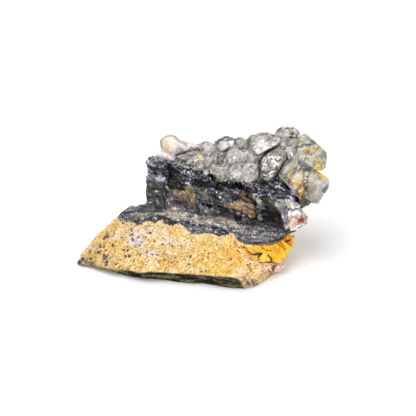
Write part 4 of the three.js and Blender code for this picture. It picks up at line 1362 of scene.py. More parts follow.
# Stains and tones of the druse as they are seen, with two white painted highlights and two dark strips of
# painted shade below the knob's tail: outline, tint, how much the tint covers, edge in pixels.
DRUSE_TONES = [
    ((199, 147, 203, 142, 208, 141, 213, 144, 217, 150, 216, 160, 207, 158, 200, 153), 0xD2C8C2, 0.8, 1),
    ((216, 146, 219, 139, 223, 136, 229, 136, 235, 139, 233, 141.5, 221, 141.5), 0x77746A, 0.9, 1),
    ((217, 147, 221, 142, 233, 141.5, 235, 145, 230, 149, 221, 151), 0xE6E2E4, 0.9, 1),
    # A painted highlight.
    ((229, 141.5, 234, 141.5, 235, 146, 231, 147), 0xFFFFFF, 1, 0.8),
    ((221, 152, 230, 149, 226, 158, 224, 166, 216, 165, 217, 157), 0x726E64, 0.9, 1),
    ((235, 142, 238, 138, 242, 137, 247, 140, 251, 145, 249, 151, 238, 149), 0xA8A098, 0.9, 1),
    ((248, 143, 250, 137, 255, 134, 265, 132.5, 275, 134, 279, 138, 268, 137, 258, 141, 251, 147), 0xACA69A,
     0.9, 1), ((247, 143, 248.6, 137, 252, 136, 253, 142, 250, 147), 0x504E46, 0.8, 1),
    ((251, 148, 260, 141, 267, 137, 280, 143, 270, 148, 258.5, 155), 0xEEE6E8, 1, 0.8),
    ((226, 152, 233, 148, 241, 150, 249, 153, 251, 160, 243, 162, 234, 165, 226, 164), 0xBFB6B0, 0.6, 1),
    # A painted highlight.
    ((231, 156.6, 237, 157, 236, 160, 231, 159.6), 0xFFFFFF, 1, 0.8),
    ((216, 165, 227, 167, 230, 178, 226, 182, 220, 186, 217, 176), 0xC2BAA4, 0.85, 1),
    ((228, 168, 238, 166, 246, 168, 244, 176, 234, 179, 229, 176), 0xE4DEE0, 0.9, 1.5),
    ((246, 164, 258, 164, 259, 173, 256, 180, 249, 186, 244, 181, 247, 172), 0xCFCACC, 0.8, 1.5),
    ((195, 160, 204, 160, 205, 169, 200, 172, 195, 170), 0x989278, 0.9, 0.8),
    ((192, 157, 198, 153.6, 206, 158.6, 199, 160, 194, 161), 0xFFF0C4, 1, 0.8),
    ((205, 160, 214, 162, 216, 171, 207, 171), 0xBDB4AA, 0.7, 1),
    ((172, 157, 176, 154, 194, 151, 195, 166, 182, 166, 172, 163), 0xDEDADC, 0.9, 1.5),
    # Two dark strips of painted shade below the knob's tail.
    ((191, 148, 203, 148, 204, 151, 192, 151.5), 0x5E5C52, 0.9, 1),
    ((176, 154, 184, 152, 191, 150, 191, 152, 180, 155, 176, 155.5), 0x6A665E, 0.8, 0.8),
]
# Lines on the druse: dark lines of painted shade along the edges and gaps between crystals, white lines that
# are painted glints, and pale lines: the corners of the line, its half width in pixels, its colour.
DRUSE_LINES = [
    ((188, 152, 192, 149.4, 199, 149.2, 203, 149.6), 1, 0x5A584E),
    ((199, 144, 203, 141.8, 208, 141), 0.5, 0x8C877C),
    ((216.4, 145, 218, 140, 222, 136.6, 228, 136.4, 234, 139), 0.7, 0x66645A),
    ((220, 141, 226, 139.6, 232, 140.4), 0.8, 0x6E6A60), ((234, 139, 235.6, 142, 234, 144), 0.8, 0x5C5850),
    ((216, 165, 219, 160, 222, 155, 226, 150.6, 230, 147.6), 0.9, 0x6A665C),
    ((216.6, 165.4, 221, 166, 224.4, 166), 0.7, 0x75716A),
    ((224.8, 158, 224.6, 162, 225.6, 165), 0.5, 0xF2EEEA),
    ((229, 142.4, 231.6, 142, 232.6, 145.4), 1.3, 0xFFFFFF), ((233, 158.4, 236, 158), 0.9, 0xFFFFFF),
    ((231.4, 173.6, 232.6, 176.6, 234, 178), 0.7, 0xFFFFFF), ((235, 141, 238, 138, 242, 137), 0.6, 0x7A756C),
    ((242, 146, 244, 149, 248, 148), 0.9, 0x7C7870), ((239, 148.6, 241, 149.4), 0.8, 0x6C6A66),
    ((248.4, 144, 249, 139, 252, 136), 0.8, 0x57544A), ((251, 145, 256, 140.6, 262, 138), 0.5, 0xA69E94),
    ((252, 136, 258, 134, 266, 133), 0.5, 0x8C877C), ((249, 148, 251, 150, 255, 152), 0.5, 0x8C8680),
    ((258, 155.6, 263, 153, 268, 150, 274, 147, 279.6, 145), 0.7, 0x6E6C62),
    ((259, 158, 258, 165, 258.8, 172, 260, 178), 0.6, 0x96928A),
    ((214, 166, 222, 168, 232, 167.4, 238, 164), 0.5, 0xDED6C8),
    ((227, 160, 231, 163, 237, 161.6, 242, 160.6, 250, 162, 257, 161.4), 0.4, 0xA8A298),
    ((228, 152, 232, 149.6, 237, 150.4, 243, 153), 0.5, 0xE6E0DA),
    ((244, 157, 249, 156, 252, 158.4), 0.7, 0xD9C8BC), ((246, 160.6, 249, 161.8, 252, 161), 0.6, 0xF0E8E4),
    ((240, 174, 246, 168, 250, 163), 0.5, 0xE8E2E0), ((247, 178, 252, 171, 256, 165), 0.6, 0xEAE4E4),
    ((243, 177, 248, 170, 252, 165), 0.4, 0x9A948E), ((250, 180, 254, 174, 257, 169), 0.4, 0xA29C98),
    ((234, 173, 238, 168.6, 242, 166), 0.5, 0xEEE8E6), ((238, 180, 242, 174, 247, 169), 0.4, 0xB0AAA2),
    ((236, 178, 241, 177, 244, 178), 0.5, 0xE6E0DE), ((245, 180.6, 248, 181.6, 251, 180), 0.6, 0xF4ECE8),
    ((204, 160, 209, 163, 213, 167), 0.5, 0xD8D2C8), ((194, 161, 195, 168, 197, 171), 0.5, 0xC8C2B2),
    ((200, 171, 202, 171.6), 0.8, 0xFFFFFF), ((210, 145, 211, 150, 216, 153), 0.5, 0xD8CEC0),
    ((204, 148, 208, 152, 210, 157), 0.5, 0xDAD2CA), ((216.6, 147, 217.4, 151, 216.6, 156), 0.6, 0xA09A90),
    ((195, 157, 197, 155.4), 0.6, 0xF6E2A8), ((259, 141.6, 264, 145, 270, 146), 0.4, 0xD2C6C0),
    ((255, 145, 260, 149, 264, 149.6), 0.4, 0xD6C8B8), ((262, 140, 268, 144, 274, 144.6), 0.4, 0xFFFFFF),
    ((281.6, 143, 284, 146), 0.6, 0x77746A),
]
# The lower edge of the druse as it is seen.
DRUSE_FOOT = (
    184, 166, 190, 169.6, 195, 170.6, 203, 171.4, 209, 171, 214, 172.6, 217.6, 175.6, 220, 181, 223, 181, 228,
    180, 234, 181.4, 240, 180, 244, 181.4, 248, 183.4, 253, 182, 258, 178.6, 262, 178,
)


# The upper edge of the druse as it is seen.
DRUSE_TOP = (
    172, 158, 184, 153, 190, 150.4, 195, 148.4, 198, 145, 201, 142.4, 205, 140.8, 209, 141, 213, 143.6, 215,
    143.4, 218, 138.5, 221, 136.5, 227, 136, 232, 137, 235, 138.4, 239, 137, 243, 137.6, 246, 139.6, 248, 138,
    250, 135.2, 254, 133.2, 260, 132.4, 266, 132.2, 271, 133.4, 276, 135, 282, 138,
)


# Crystals that stand out of the druse: the pixel of the middle, the outline, and the front corners with how
# far they stand out in millimetres.
DRUSE_CRYSTALS = [
    ((208, 151), (198, 148, 200, 144, 204, 141.2, 208, 140.6, 212.6, 143, 216.6, 147, 217, 156, 213, 162, 205,
     160, 199, 154), (205, 146, 1.4, 212, 149, 1.6, 208, 157, 1.8)),
    ((226, 146), (216, 150, 217, 143, 220, 138, 224, 135.6, 229, 136, 235, 139, 237, 144, 233, 149, 226, 154,
     219, 156), (221, 141.6, 1.2, 233, 141.4, 1.2, 233, 147, 1.6, 221, 150, 1.8)),
    ((220, 160), (215, 156, 221, 152, 227, 152, 226, 160, 224, 167, 215, 166), (220, 157, 0.6, 222, 163,
     0.6)),
    ((243, 144), (235, 142, 238, 138, 242, 136.8, 247, 139.6, 251, 145, 250, 150, 244, 152, 238, 150), (240,
     142, 1.2, 246, 144, 1.4, 243, 149, 1.6)),
    ((264, 145), (249, 148, 248, 141, 251, 136, 256, 133.6, 265, 132.6, 274, 134, 281, 138, 281, 144, 272,
     149, 259, 156, 251, 154), (252, 147.4, 1.6, 259, 141.6, 1.4, 267, 137.4, 1.2, 279.4, 143, 1.6, 269.6,
     148.6, 3, 258.6, 154.6, 3)),
    ((238, 157), (224, 166, 226, 153, 235, 147.4, 250, 152, 256, 158, 247, 164, 232, 168), (229, 155, 1.2,
     238, 151.4, 1.3, 249, 156.4, 1.3, 238, 162, 2, 228, 163, 1.6)),
    ((223, 174), (214, 166, 226, 166, 231, 169, 233, 178, 227, 180.6, 221, 181.6, 217, 176, 214, 171), (218,
     168.6, 0.7, 227, 167.4, 0.9, 228.6, 176.4, 1, 220.6, 178.4, 0.8)),
    ((238, 172), (226, 168, 236, 163, 247, 161, 251, 168, 248, 178, 240, 182.6, 231, 181.6, 226, 175), (230,
     168, 1, 246, 163, 1.2, 247.6, 175, 1.4, 232, 178.6, 1.2)),
    ((252, 173), (243, 164, 257, 160, 260, 166, 259, 176, 256, 180, 249, 186, 244, 182, 242, 174), (246, 164,
     1.2, 256, 164, 1.3, 256, 176, 1.6, 248.4, 182.6, 1.3)),
    ((200, 163), (192, 160, 195, 156, 200, 153.6, 206, 158, 207, 166, 205, 171, 199, 172.6, 194, 169), (195.4,
     159.8, 1.4, 204, 159.6, 1.6, 204, 168.6, 1.8, 197, 169.4, 1.6)),
    ((211, 166), (203, 161, 209, 157, 216, 161, 219, 169, 215, 174.6, 207, 173, 203, 168), (207, 162, 1.2,
     214, 164, 1.4, 213.4, 171.6, 1.4, 207.6, 170, 1.2)),
    ((192, 153), (180, 156.6, 186, 151.6, 192, 146.6, 200, 145, 203, 150, 198, 156, 190, 160, 182, 160), (188,
     154, 1, 197, 149, 1.2, 195, 155, 1.4)),
    ((252, 158), (246, 154, 252, 152, 258, 155, 262, 158, 259, 164, 250, 164, 245, 160), (250, 156, 1.6, 257,
     158, 2, 253, 162, 2)),
]


def join_pieces(name, parts):
    """Joins pieces in one mesh."""
    bpy.ops.object.select_all(action="DESELECT")
    for part in parts:
        part.select_set(True)
    bpy.context.view_layer.objects.active = parts[0]
    bpy.ops.object.join()
    parts[0].name = parts[0].data.name = name
    return parts[0]


def make_druse(shell, heart, edges, rng):
    """Crystals grown together on top of the wall."""
    base = copy_of("crystal_druse", "druse_glass")
    remesh(base, DRUSE_VOXEL)
    points, normals = points_of(base), normals_of(base)
    towards = normals @ BACK
    rim = np.clip(np.abs(towards) * 2.5, 0.15, 1)  # the outline in the view keeps its place
    rough = np.clip(chipped(points, size=3.0, tilt=0.35, seed=60), -0.5, 0.5) - 0.35 * (towards > 0)
    points += normals * (rough * rim)[:, None]
    move_points(base, lowered(kept_above(points, DRUSE_FOOT), DRUSE_TOP))
    tree = surface_tree(base)
    make_heart(twin_of(base, "druse_inside"), heart, 0.5, 2.2, 0.3, 61)
    paint_stains(base, DRUSE_TONES, DRUSE_LINES)
    finish_piece(base, shell, "crystal_druse")

    girdle, root, root_width = -0.4, -3.5, 0.7
    grown = []
    for index, (middle, outline, front) in enumerate(DRUSE_CRYSTALS):
        spot, _ = seen_at(tree, [middle])
        around = rows(outline)
        sunk = middle + (around - middle) * root_width
        corners = [np.insert(around, 2, girdle, 1), rows(front, 3), np.insert(sunk, 2, root, 1)]
        grown.append(carved(f"druse_crystal_{index}", spot[0], np.vstack(corners)))
    crystals = join_pieces("druse_crystals", grown)
    move_points(crystals, lowered(kept_above(points_of(crystals), DRUSE_FOOT), DRUSE_TOP))
    finish_shell(crystals, shell, bevel=0.24, stains=DRUSE_TONES, lines=DRUSE_LINES,
                 longest=0.28, edge=edges)

    spots, outward = scattered(base, 420, rng)
    hidden = (outward @ BACK < -0.1) | (outward[:, 2] > 0.75)
    spots, outward = spots[hidden][:150], outward[hidden][:150]
    half = random_sizes(len(spots), 0.7, 1.9, 0.25, rng)
    in_view = (outward @ BACK > -0.1)[:, None]
    half = np.where(in_view, half * 0.4, half)
    behind = many_blocks("druse_back_crystals", spots - outward * half * 0.55, half, rng, cut=0.4,
                         ragged=0.1)
    move_points(behind, lowered(points_of(behind), DRUSE_TOP))
    finish_shell(behind, shell, bevel=0.12, stains=DRUSE_TONES, longest=1.25, edge=edges)
    return base, crystals


# The lone crystals: the middle in millimetres, the corners (pixel across, pixel down, millimetres nearer than
# the middle) and the flecks (corners of the line, half width in pixels, colour).
CLEAR_AT = (23.2, 8.0, 37.4)
CLEAR_CORNERS = (
    259, 173, 0, 259.5, 164, 0, 263, 156, 0, 279, 144.6, -1, 286.6, 152, -0.4, 287, 158, 0, 284.4, 161.6, 0.4,
    276.4, 175, 1, 268, 181.4, 1, 260, 178, 0.4, 264.4, 159.6, 3, 277, 151, 2.4, 283.4, 156.6, 2.4, 280, 165,
    3.6, 274, 173, 4, 265.6, 172.6, 4, 264, 160, -4, 280, 150, -4.5, 282, 164, -4, 266, 174, -4,
)
RIGHT_TOP_AT = (34.8, 12.6, 39.7)
RIGHT_TOP_CORNERS = (
    299, 136.5, 0, 305, 133, -1.4, 311, 138, -1, 315, 141.5, 1.5, 303, 146.5, 3.4, 295, 147, 2, 298, 153, 3.2,
    300, 160, 3.4, 309, 164.5, 3.2, 316, 170, 2, 321, 171, 0.6, 323, 151, 1.4, 323.4, 166, 1.2, 326.6, 152,
    -0.8, 327.4, 158, -1, 325.6, 168.6, -0.8, 300, 140, -5, 322, 148, -5.5, 322, 166, -5, 302, 162, -5, 289,
    148, -2, 290, 161, -2, 298, 168, -3,
)
RIGHT_TOP_FLECKS = [
    ((305, 150, 307, 152, 306, 154), 0.7, 0xD8A838), ((309, 149.6, 312, 147.6), 0.6, 0xF0C44C),
    ((313, 148, 316, 149), 0.6, 0xE8B840), ((318, 147, 319, 150), 0.6, 0xF0C44C),
    ((310, 152, 311, 155), 0.5, 0xC89C40), ((316, 157, 318, 160), 0.6, 0xE8B840),
    ((320, 161, 321, 165), 0.7, 0xECC04C), ((315, 164, 318, 167, 322, 167.6), 0.9, 0xFCD448),
    ((303, 150, 306, 156, 304, 161), 0.3, 0x8C8474), ((312, 157, 315, 162), 0.3, 0x98907E),
    ((300, 138, 305, 136, 309, 140), 0.3, 0xC8BE9E), ((322, 155, 323, 161), 0.4, 0x8C8272),
]
BACK_TOP_AT = (26.2, 17.6, 40.8)
BACK_TOP_CORNERS = (
    274.6, 136, 0, 275.6, 131, -0.6, 278.4, 127.8, -1.4, 283, 126, -1.6, 289, 127.6, -1.4, 295, 127, -1.6,
    299, 130.4, -1.2, 301, 136, 0, 299, 144, 2.4, 294, 150, 3.6, 280, 150, 3.6, 271, 142, 2, 279, 135.6, 3,
    294, 137, 3, 278, 132, -5, 297, 132, -5, 292, 146, -4, 279, 145, -4,
)
STREAKED_AT = (30.8, 7.4, 33.2)
STREAKED_CORNERS = (
    277.4, 174.6, 0.4, 286, 160, 0, 299, 159.6, 0, 304.6, 170, 0, 306, 185, 0, 305, 198.4, 0, 300.4, 200.4,
    0.4, 291, 188, 1, 281, 178, 1, 281.6, 173.6, 2.4, 289, 162.4, 2.6, 297, 162, 2.8, 302.4, 172, 2.8, 303.4,
    190, 2.4, 300, 196, 2.4, 293, 184, 3, 285, 176.6, 2.8, 284, 168, -3, 302, 164, -3.4, 303, 192, -3, 293,
    188, -3,
)
STREAKED_FLECKS = [
    ((288.6, 178, 291.6, 171.6), 0.7, 0xF0C038), ((301, 170.6, 303, 175, 303.4, 178), 0.7, 0xF4BC2C),
    ((293, 180.4, 295, 178.4, 296.4, 181.4), 0.9, 0xFFC420), ((294, 184, 297, 186, 299, 183), 0.7, 0xEEAC1C),
    ((297, 181, 300, 182), 0.8, 0xF6BC26), ((302.6, 187, 303.4, 192, 301.6, 198), 0.8, 0xF8B010),
    ((296, 189, 298, 191, 299.6, 189), 0.7, 0xDC9A20), ((299, 186, 300, 188.6), 0.7, 0x4A3C28),
    ((297.4, 192.6, 299, 196), 0.7, 0x54442A), ((284, 170, 287, 164.6), 0.4, 0xE6DCC8),
    ((291, 166, 294, 163.6, 297, 165), 0.4, 0xF0E8DC), ((286, 176, 290, 181, 293, 186), 0.4, 0x7C7258),
]
MILKY_AT = (39.8, 8.4, 29.4)
MILKY_CORNERS = (
    309, 170.4, 0.6, 313, 168, 0, 318, 172, 0.6, 326.4, 176.4, 0, 330, 181.4, -0.4, 329, 186, 0, 324.6, 194,
    0.2, 321.6, 197, 0, 318.6, 204, 0.6, 311.4, 203.4, 1, 306.4, 197.4, 1, 307.6, 181.6, 2, 318, 186.4, 3.6,
    312, 174, 2.2, 316.6, 200, 2.6, 308, 170, -3.6, 327, 180, -4, 320, 198, -3.6, 306, 196, -3.4,
)
RED_AT = (34.2, 3.0, 19.5)
RED_CORNERS = (
    288.4, 211, 0, 291, 206.6, -0.4, 296.6, 204.4, -0.6, 300, 207.2, -0.4, 304.4, 212.6, 0, 307.8, 216.6, 0,
    307.6, 223.4, 0, 302.6, 225, 0.4, 299, 226.6, 0.4, 297, 230, 0, 290.6, 231, 0, 287.4, 226, 0.4, 296.6,
    214.6, 2.8, 300.6, 215.6, 2.2, 305, 217, 1.4, 303.4, 222.6, 1.8, 292, 226.6, 1.8, 291, 209, -3, 302, 213,
    -3, 304, 222, -3, 292, 228, -3,
)


PALE_AT = (18.7, 5.4, 22.7)
PALE_CORNERS = (
    251, 193, -0.4, 253, 191.6, -0.3, 257, 192.4, 0, 260.4, 195, 0, 264, 201, 0, 263, 204, 0, 260.6, 205.4, 0,
    257.4, 203.6, 0.2, 253, 198, 0, 255, 195, 1, 260, 200, 1.2, 259.6, 203, 1, 254, 195, -2.4, 261, 198, -2.4,
    259, 203, -2.4,
)


# The veils inside the clear crystal, as they are seen: outline, tint, how much it covers, edge in pixels.
CLEAR_FOLDS = [
    ((279, 145, 283, 149, 287, 153, 287.4, 159, 284.4, 161.6, 282, 156, 279, 150), 0xC8C2BA, 0.95, 0.8),
    ((260, 158, 280, 148, 284, 160, 277, 172, 264, 172), 0xB0AEA8, 0.8, 2),
    ((267, 153, 274, 150, 282, 153, 281, 157, 277, 157, 269, 157), 0x7C775E, 0.9, 1),
    ((262.6, 158.6, 265.6, 157.6, 267, 160, 266.4, 169.6, 262.6, 170.4), 0xF4F4F0, 0.9, 0.8),
    ((268, 158, 272, 156, 277, 156, 282, 158, 281, 162, 277, 165, 273, 161, 268.6, 161), 0xC8C8C0, 0.9, 0.8),
    ((268, 161.6, 272, 159.6, 275.6, 163, 274, 168, 269, 168), 0xC4C0B0, 1, 0.8),
    ((276, 162, 281, 160.4, 281, 164, 277, 167), 0xC4BCA4, 0.9, 1),
    ((260, 170, 268, 170.4, 276, 168, 278, 171, 268, 174, 260, 173), 0x1C1B17, 1, 0.8),
    ((266, 176, 274, 173.4, 277, 176, 270, 181, 264, 180), 0xB9B48C, 1, 0.8),
]
CLEAR_LINES = [
    ((264.6, 158.8, 264.2, 161.6), 1.4, 0xFFFFFF), ((264, 163.2, 263.6, 165.6), 1.3, 0xFFFFFF),
    ((263.4, 167.2, 263, 169.4), 1.2, 0xFFFFFF), ((262, 162.4, 266.4, 162.2), 0.4, 0x3A3A38),
    ((262, 166.4, 266.4, 166.2), 0.4, 0x3A3A38), ((269, 157.4, 272, 156.6, 274, 158.6), 0.9, 0xFFFFFF),
    ((275.4, 157, 278, 159.6), 0.8, 0xFFFFFF), ((279, 157.4, 281.6, 158), 0.9, 0xFFFFFF),
    ((272, 160.8, 275, 162, 277.4, 164.6), 0.8, 0xFFFFFF), ((268.4, 154.6, 270.8, 153.4), 0.6, 0xF4F4F0),
    ((274, 166.8, 276, 164.6), 0.6, 0xE8E8E0), ((270.8, 158.6, 273, 160.2), 0.5, 0x3C3C38),
    ((275.4, 160, 279, 161.4, 281.4, 159.6), 0.6, 0x4A4A44),
    ((267.4, 160, 268, 164, 271, 168.4), 0.6, 0x4C4B42), ((276.8, 165.4, 276.6, 169), 0.8, 0x4A4942),
    ((269, 174, 272, 171.6, 274.4, 171), 0.9, 0xFFFFFF), ((262.2, 174.6, 266, 175.4), 0.7, 0xF2F2EA),
    ((270, 176.4, 272.4, 175.6), 0.6, 0xFFFFFF), ((261, 158, 260, 166, 260.6, 173), 0.4, 0x8A877C),
    ((262, 155.6, 270, 150.6, 278, 147), 0.5, 0x5E5C54), ((267, 153.6, 273, 150.8, 277, 150), 0.5, 0xA8A494),
]


# Small crystals between the large ones: anchor, colour, corners.
SMALL_CRYSTALS = [
    ("lilac_bit", CLEAR_AT, 0xFFFEFF, (285, 148, 0, 288, 146.4, -0.4, 292, 147, 0, 295, 151, 0, 299, 156, 0,
     297, 161, 0.6, 289, 160.6, 1, 287, 155, 1, 290, 150, 2.2, 293, 156, 2.4, 288, 150, -4, 297, 158, -4)),
    ("round_bit", CLEAR_AT, 0xBDB8A8, (279.6, 144, -0.5, 281.4, 141, -0.8, 285, 140.8, -0.8, 287.4, 143.6,
     -0.5, 287, 147.6, 0, 283.6, 149.6, 0.2, 280.6, 148, 0, 283.4, 145, 1, 282, 143, -4, 286, 147, -4)),
    ("dark_bit", MILKY_AT, 0x50525C, (320.6, 189.6, 1.4, 324, 186.6, 1.6, 329.6, 184, 0.4, 328.6, 188.6, 0.4,
     325.4, 193.8, 0.6, 322.4, 192.4, 1.2, 325, 189.6, 2.6, 323, 189, -2, 327, 188, -2)),
]


# Patches of small crystals: outline, how many, smallest and largest half size.
GRAIN_PATCHES = [
    ((172, 153, 195, 152, 196, 168, 186, 169, 176, 164), 150, 0.14, 0.42),
    ((186, 160, 196, 166, 205, 168, 216, 170, 221, 178, 226, 177, 245, 179, 250, 183, 257, 177, 261, 179, 248,
     187.6, 240, 183, 228, 182, 221, 183, 214, 174, 200, 173, 190, 168), 120, 0.14, 0.34),
    ((200, 142, 280, 134, 262, 150, 258, 178, 246, 184, 218, 180, 196, 166), 150, 0.1, 0.24),
]


def make_crystal_grains(druse, druse_crystals, rng):
    """Small crystals: a crumbly grey patch beside the knob, a ragged lower edge, and glints all over."""
    tree = surface_tree(druse, druse_crystals, bpy.data.objects["galena_rock"])
    spots, normals, half = [], [], []
    for outline, count, low, high in GRAIN_PATCHES:
        found = seen_at(tree, random_in(outline, count, rng))
        spots.append(found[0])
        normals.append(found[1])
        half.append(rng.uniform(low, high, (len(found[0]), 1)))
    around, outward = scattered(druse, 500, rng)
    away = outward @ BACK < 0.1
    spots.append(around[away])
    normals.append(outward[away])
    half.append(rng.uniform(0.15, 0.6, (away.sum(), 1)))
    spots, normals, half = np.concatenate(spots), np.concatenate(normals), np.concatenate(half)
    half = half * rng.uniform(0.7, 1.3, (len(spots), 3))
    piece = many_blocks("crystal_grains", spots - normals * half * 0.3, half, rng, cut=0.3, ragged=0.15)
    finish_piece(piece, crystal_grain_look())


# Stains of the lone crystals, with painted shade and painted highlights at some edges and sides: outline,
# colour, how fully it covers, edge in pixels.
RIGHT_TOP_STAINS_AND_SHADE = [
    ((296, 148, 302, 146, 313, 144, 323, 150, 325, 166, 316, 171, 299, 161), 0xC6BAAA, 0.9, 0.8),
    ((308, 146, 314, 144, 323, 150, 325, 166, 316, 171, 308, 166), 0xE6DAC6, 0.9, 2),
    # The top face, and below it a dark line of painted shade along its edge.
    ((294, 146, 296, 141, 299, 136, 304, 133, 308, 135, 311, 139, 311.5, 144, 304, 145.6, 297, 147), 0xA8A086,
     1, 0.8), ((295, 146, 303, 144.6, 313, 142, 313, 144.6, 303, 147.8, 296, 149), 0x4E4638, 1, 0.8),
    ((299, 160, 303, 160, 314, 168, 311, 169), 0x8C8A88, 0.8, 1),
    # Dark lines of painted shade along the right rim and the upper right edge.
    ((324.4, 151, 325.4, 151, 325.2, 168, 324.2, 168), 0x5A554C, 1, 0.8),
    ((326, 151, 327.8, 152, 327, 168, 326, 168), 0x4A453E, 1, 0.8),
    ((305, 132, 312, 136.6, 326, 150, 325.4, 151.6, 311, 138.4, 305, 133.4), 0x4E4A40, 1, 0.8),
    ((305, 149, 311, 149, 312, 155, 306, 155), 0xC9A140, 0.8, 1),
    ((307, 151, 309, 151, 309, 153, 307, 153), 0x9C7A34, 0.9, 0.8),
    ((313, 147, 319, 148, 318, 150, 313, 150), 0xE2B850, 0.9, 1),
    ((316, 150.6, 320, 150.6, 320, 152.4, 317, 152), 0x7C7466, 0.9, 0.8),
    ((316, 157, 319, 157, 319, 160, 316, 160), 0xD8B04C, 0.9, 1),
    ((316, 161, 322, 161, 322, 165, 316, 165), 0xE8C878, 0.8, 1),
    ((316, 166, 324, 165, 324.6, 172, 316, 171), 0xFAD658, 1, 1),
]
BACK_TOP_STAINS = [
    ((274, 134, 277, 128, 284, 125, 299, 127, 301, 135), 0x9C948A, 0.9, 1),
    ((282, 129, 288, 127.4, 297, 129.6, 297, 131, 288, 129.6, 283, 131), 0x6E6A62, 0.8, 0.8),
    ((272, 136, 297, 138, 297, 145, 290, 150, 272, 146), 0xA2A0A6, 0.9, 1.5),
    ((289, 133.6, 294, 132.4, 298, 135, 297, 138.6, 289, 138), 0x08090C, 1, 0.6),
    ((293, 138, 297, 138, 296, 143, 292.6, 142), 0xE8E0B0, 0.9, 1),
]
STREAKED_STAINS_AND_HIGHLIGHT = [
    ((283, 175, 286, 168, 291, 164, 296, 170, 292, 177), 0xA89E7C, 0.7, 1),
    ((276.6, 178, 285.6, 160, 289.6, 161.6, 281, 178), 0xCAC8CA, 1, 0.8),
    ((289, 162, 291.6, 161.6, 287, 168, 285.6, 168), 0xF4F0EA, 0.9, 0.8),
    ((290, 162, 297, 160.6, 299, 168, 292, 168), 0xD2C8BC, 0.85, 1),
    # A painted highlight along the right edge.
    ((300, 162, 302, 162, 305.4, 172, 304.6, 178, 303, 172), 0xD6D2DC, 0.9, 0.8),
    ((288, 177, 291, 171.6, 292.4, 172, 289.4, 178), 0xE0B84A, 1, 0.8),
    ((300, 171, 302, 171, 304, 178, 302, 178), 0xE2B23A, 1, 0.8),
    ((292, 179, 297, 178.4, 297, 184, 293, 184), 0xEEB82C, 1, 0.8),
    ((296, 181, 303, 180, 304, 199, 300, 199, 295, 192), 0xBC9438, 0.9, 1.5),
    ((298, 183, 301, 184, 300, 187.6, 298, 187), 0x54452E, 0.9, 0.8),
    ((296, 190, 300, 189, 301, 195, 298, 196), 0x5E4C2E, 0.8, 0.8),
    ((301.6, 187, 305, 187, 305, 199, 302, 199), 0xF0B438, 1, 0.8),
]
MILKY_STAINS_AND_SHADE = [
    # Three strips of painted shade, darkest at the left, on the lower part of the crystal.
    ((305, 180, 309, 181, 311, 203, 305, 200), 0x837A68, 1, 2),
    ((309, 181, 313, 182, 315, 203, 310, 203), 0x9E937E, 1, 3),
    ((313, 183, 316.6, 186, 318, 203, 314, 203), 0xAEA28C, 0.9, 3),
    ((308, 169, 312, 168, 312, 180, 308, 181), 0xB0AAA2, 0.9, 1),
    ((312, 173, 317, 173, 329, 180, 327, 185, 318, 187, 311, 181), 0xD6C8C0, 0.9, 1.5),
    ((315, 171, 325, 174, 327, 180, 321, 179), 0xFFD03A, 1, 0.8),
    ((314, 171, 316, 172, 314.6, 176, 313, 175), 0xE6C468, 0.9, 0.8),
    ((317.6, 189, 324, 190, 322, 203, 317, 203), 0xC2BCB6, 0.95, 1.2),
    ((326, 181, 330, 180, 328, 184.6, 320, 187.6), 0xF6F2F0, 0.9, 0.8),
]
RED_STAINS = [
    ((287, 204, 297, 203, 300, 212, 296, 216, 288, 216), 0xFCF8FA, 1, 1.5),
    ((297, 205, 303, 206, 306, 211, 302, 215, 298, 213), 0xD8D0D4, 0.9, 1),
    ((303.6, 209, 309, 216, 308, 224, 304, 224.6, 305.6, 218), 0x8E7C6A, 0.9, 1),
    ((289, 219, 297.4, 218.4, 297.6, 226, 295, 230, 290, 231), 0xD6C2B6, 0.95, 1),
    ((287, 215, 289, 215, 289.6, 222, 289, 228, 287, 228), 0xC4A08C, 0.8, 1),
    ((296.4, 229, 299.4, 226, 304, 225, 304, 228, 298, 231), 0x7C766E, 0.9, 1),
    ((295.8, 217.2, 299.6, 218.6, 305.8, 217, 303.4, 220.4, 305, 224.6, 301.4, 222.6, 297.2, 225, 299, 220.8),
     0xA83A00, 1, 0.6), ((298.4, 218.6, 304, 218, 303, 223, 299, 223), 0x8A2400, 1, 0.6),
    ((291.6, 217, 295, 215.6, 298, 217, 295, 219), 0xC86C34, 0.8, 0.7),
]
PALE_STAINS = [
    ((252, 192.4, 254.6, 192.4, 260, 202, 257, 203), 0xC8C4C8, 0.9, 0.8),
    ((256, 193, 260, 195, 263, 201, 260, 200), 0xA49C74, 0.9, 1),
    ((253.6, 197, 255, 196.6, 258.6, 203, 257, 204), 0x5C5644, 0.9, 0.7),
    ((258, 199, 262, 200, 262.6, 205, 260, 205), 0xB0A488, 0.9, 1),
]


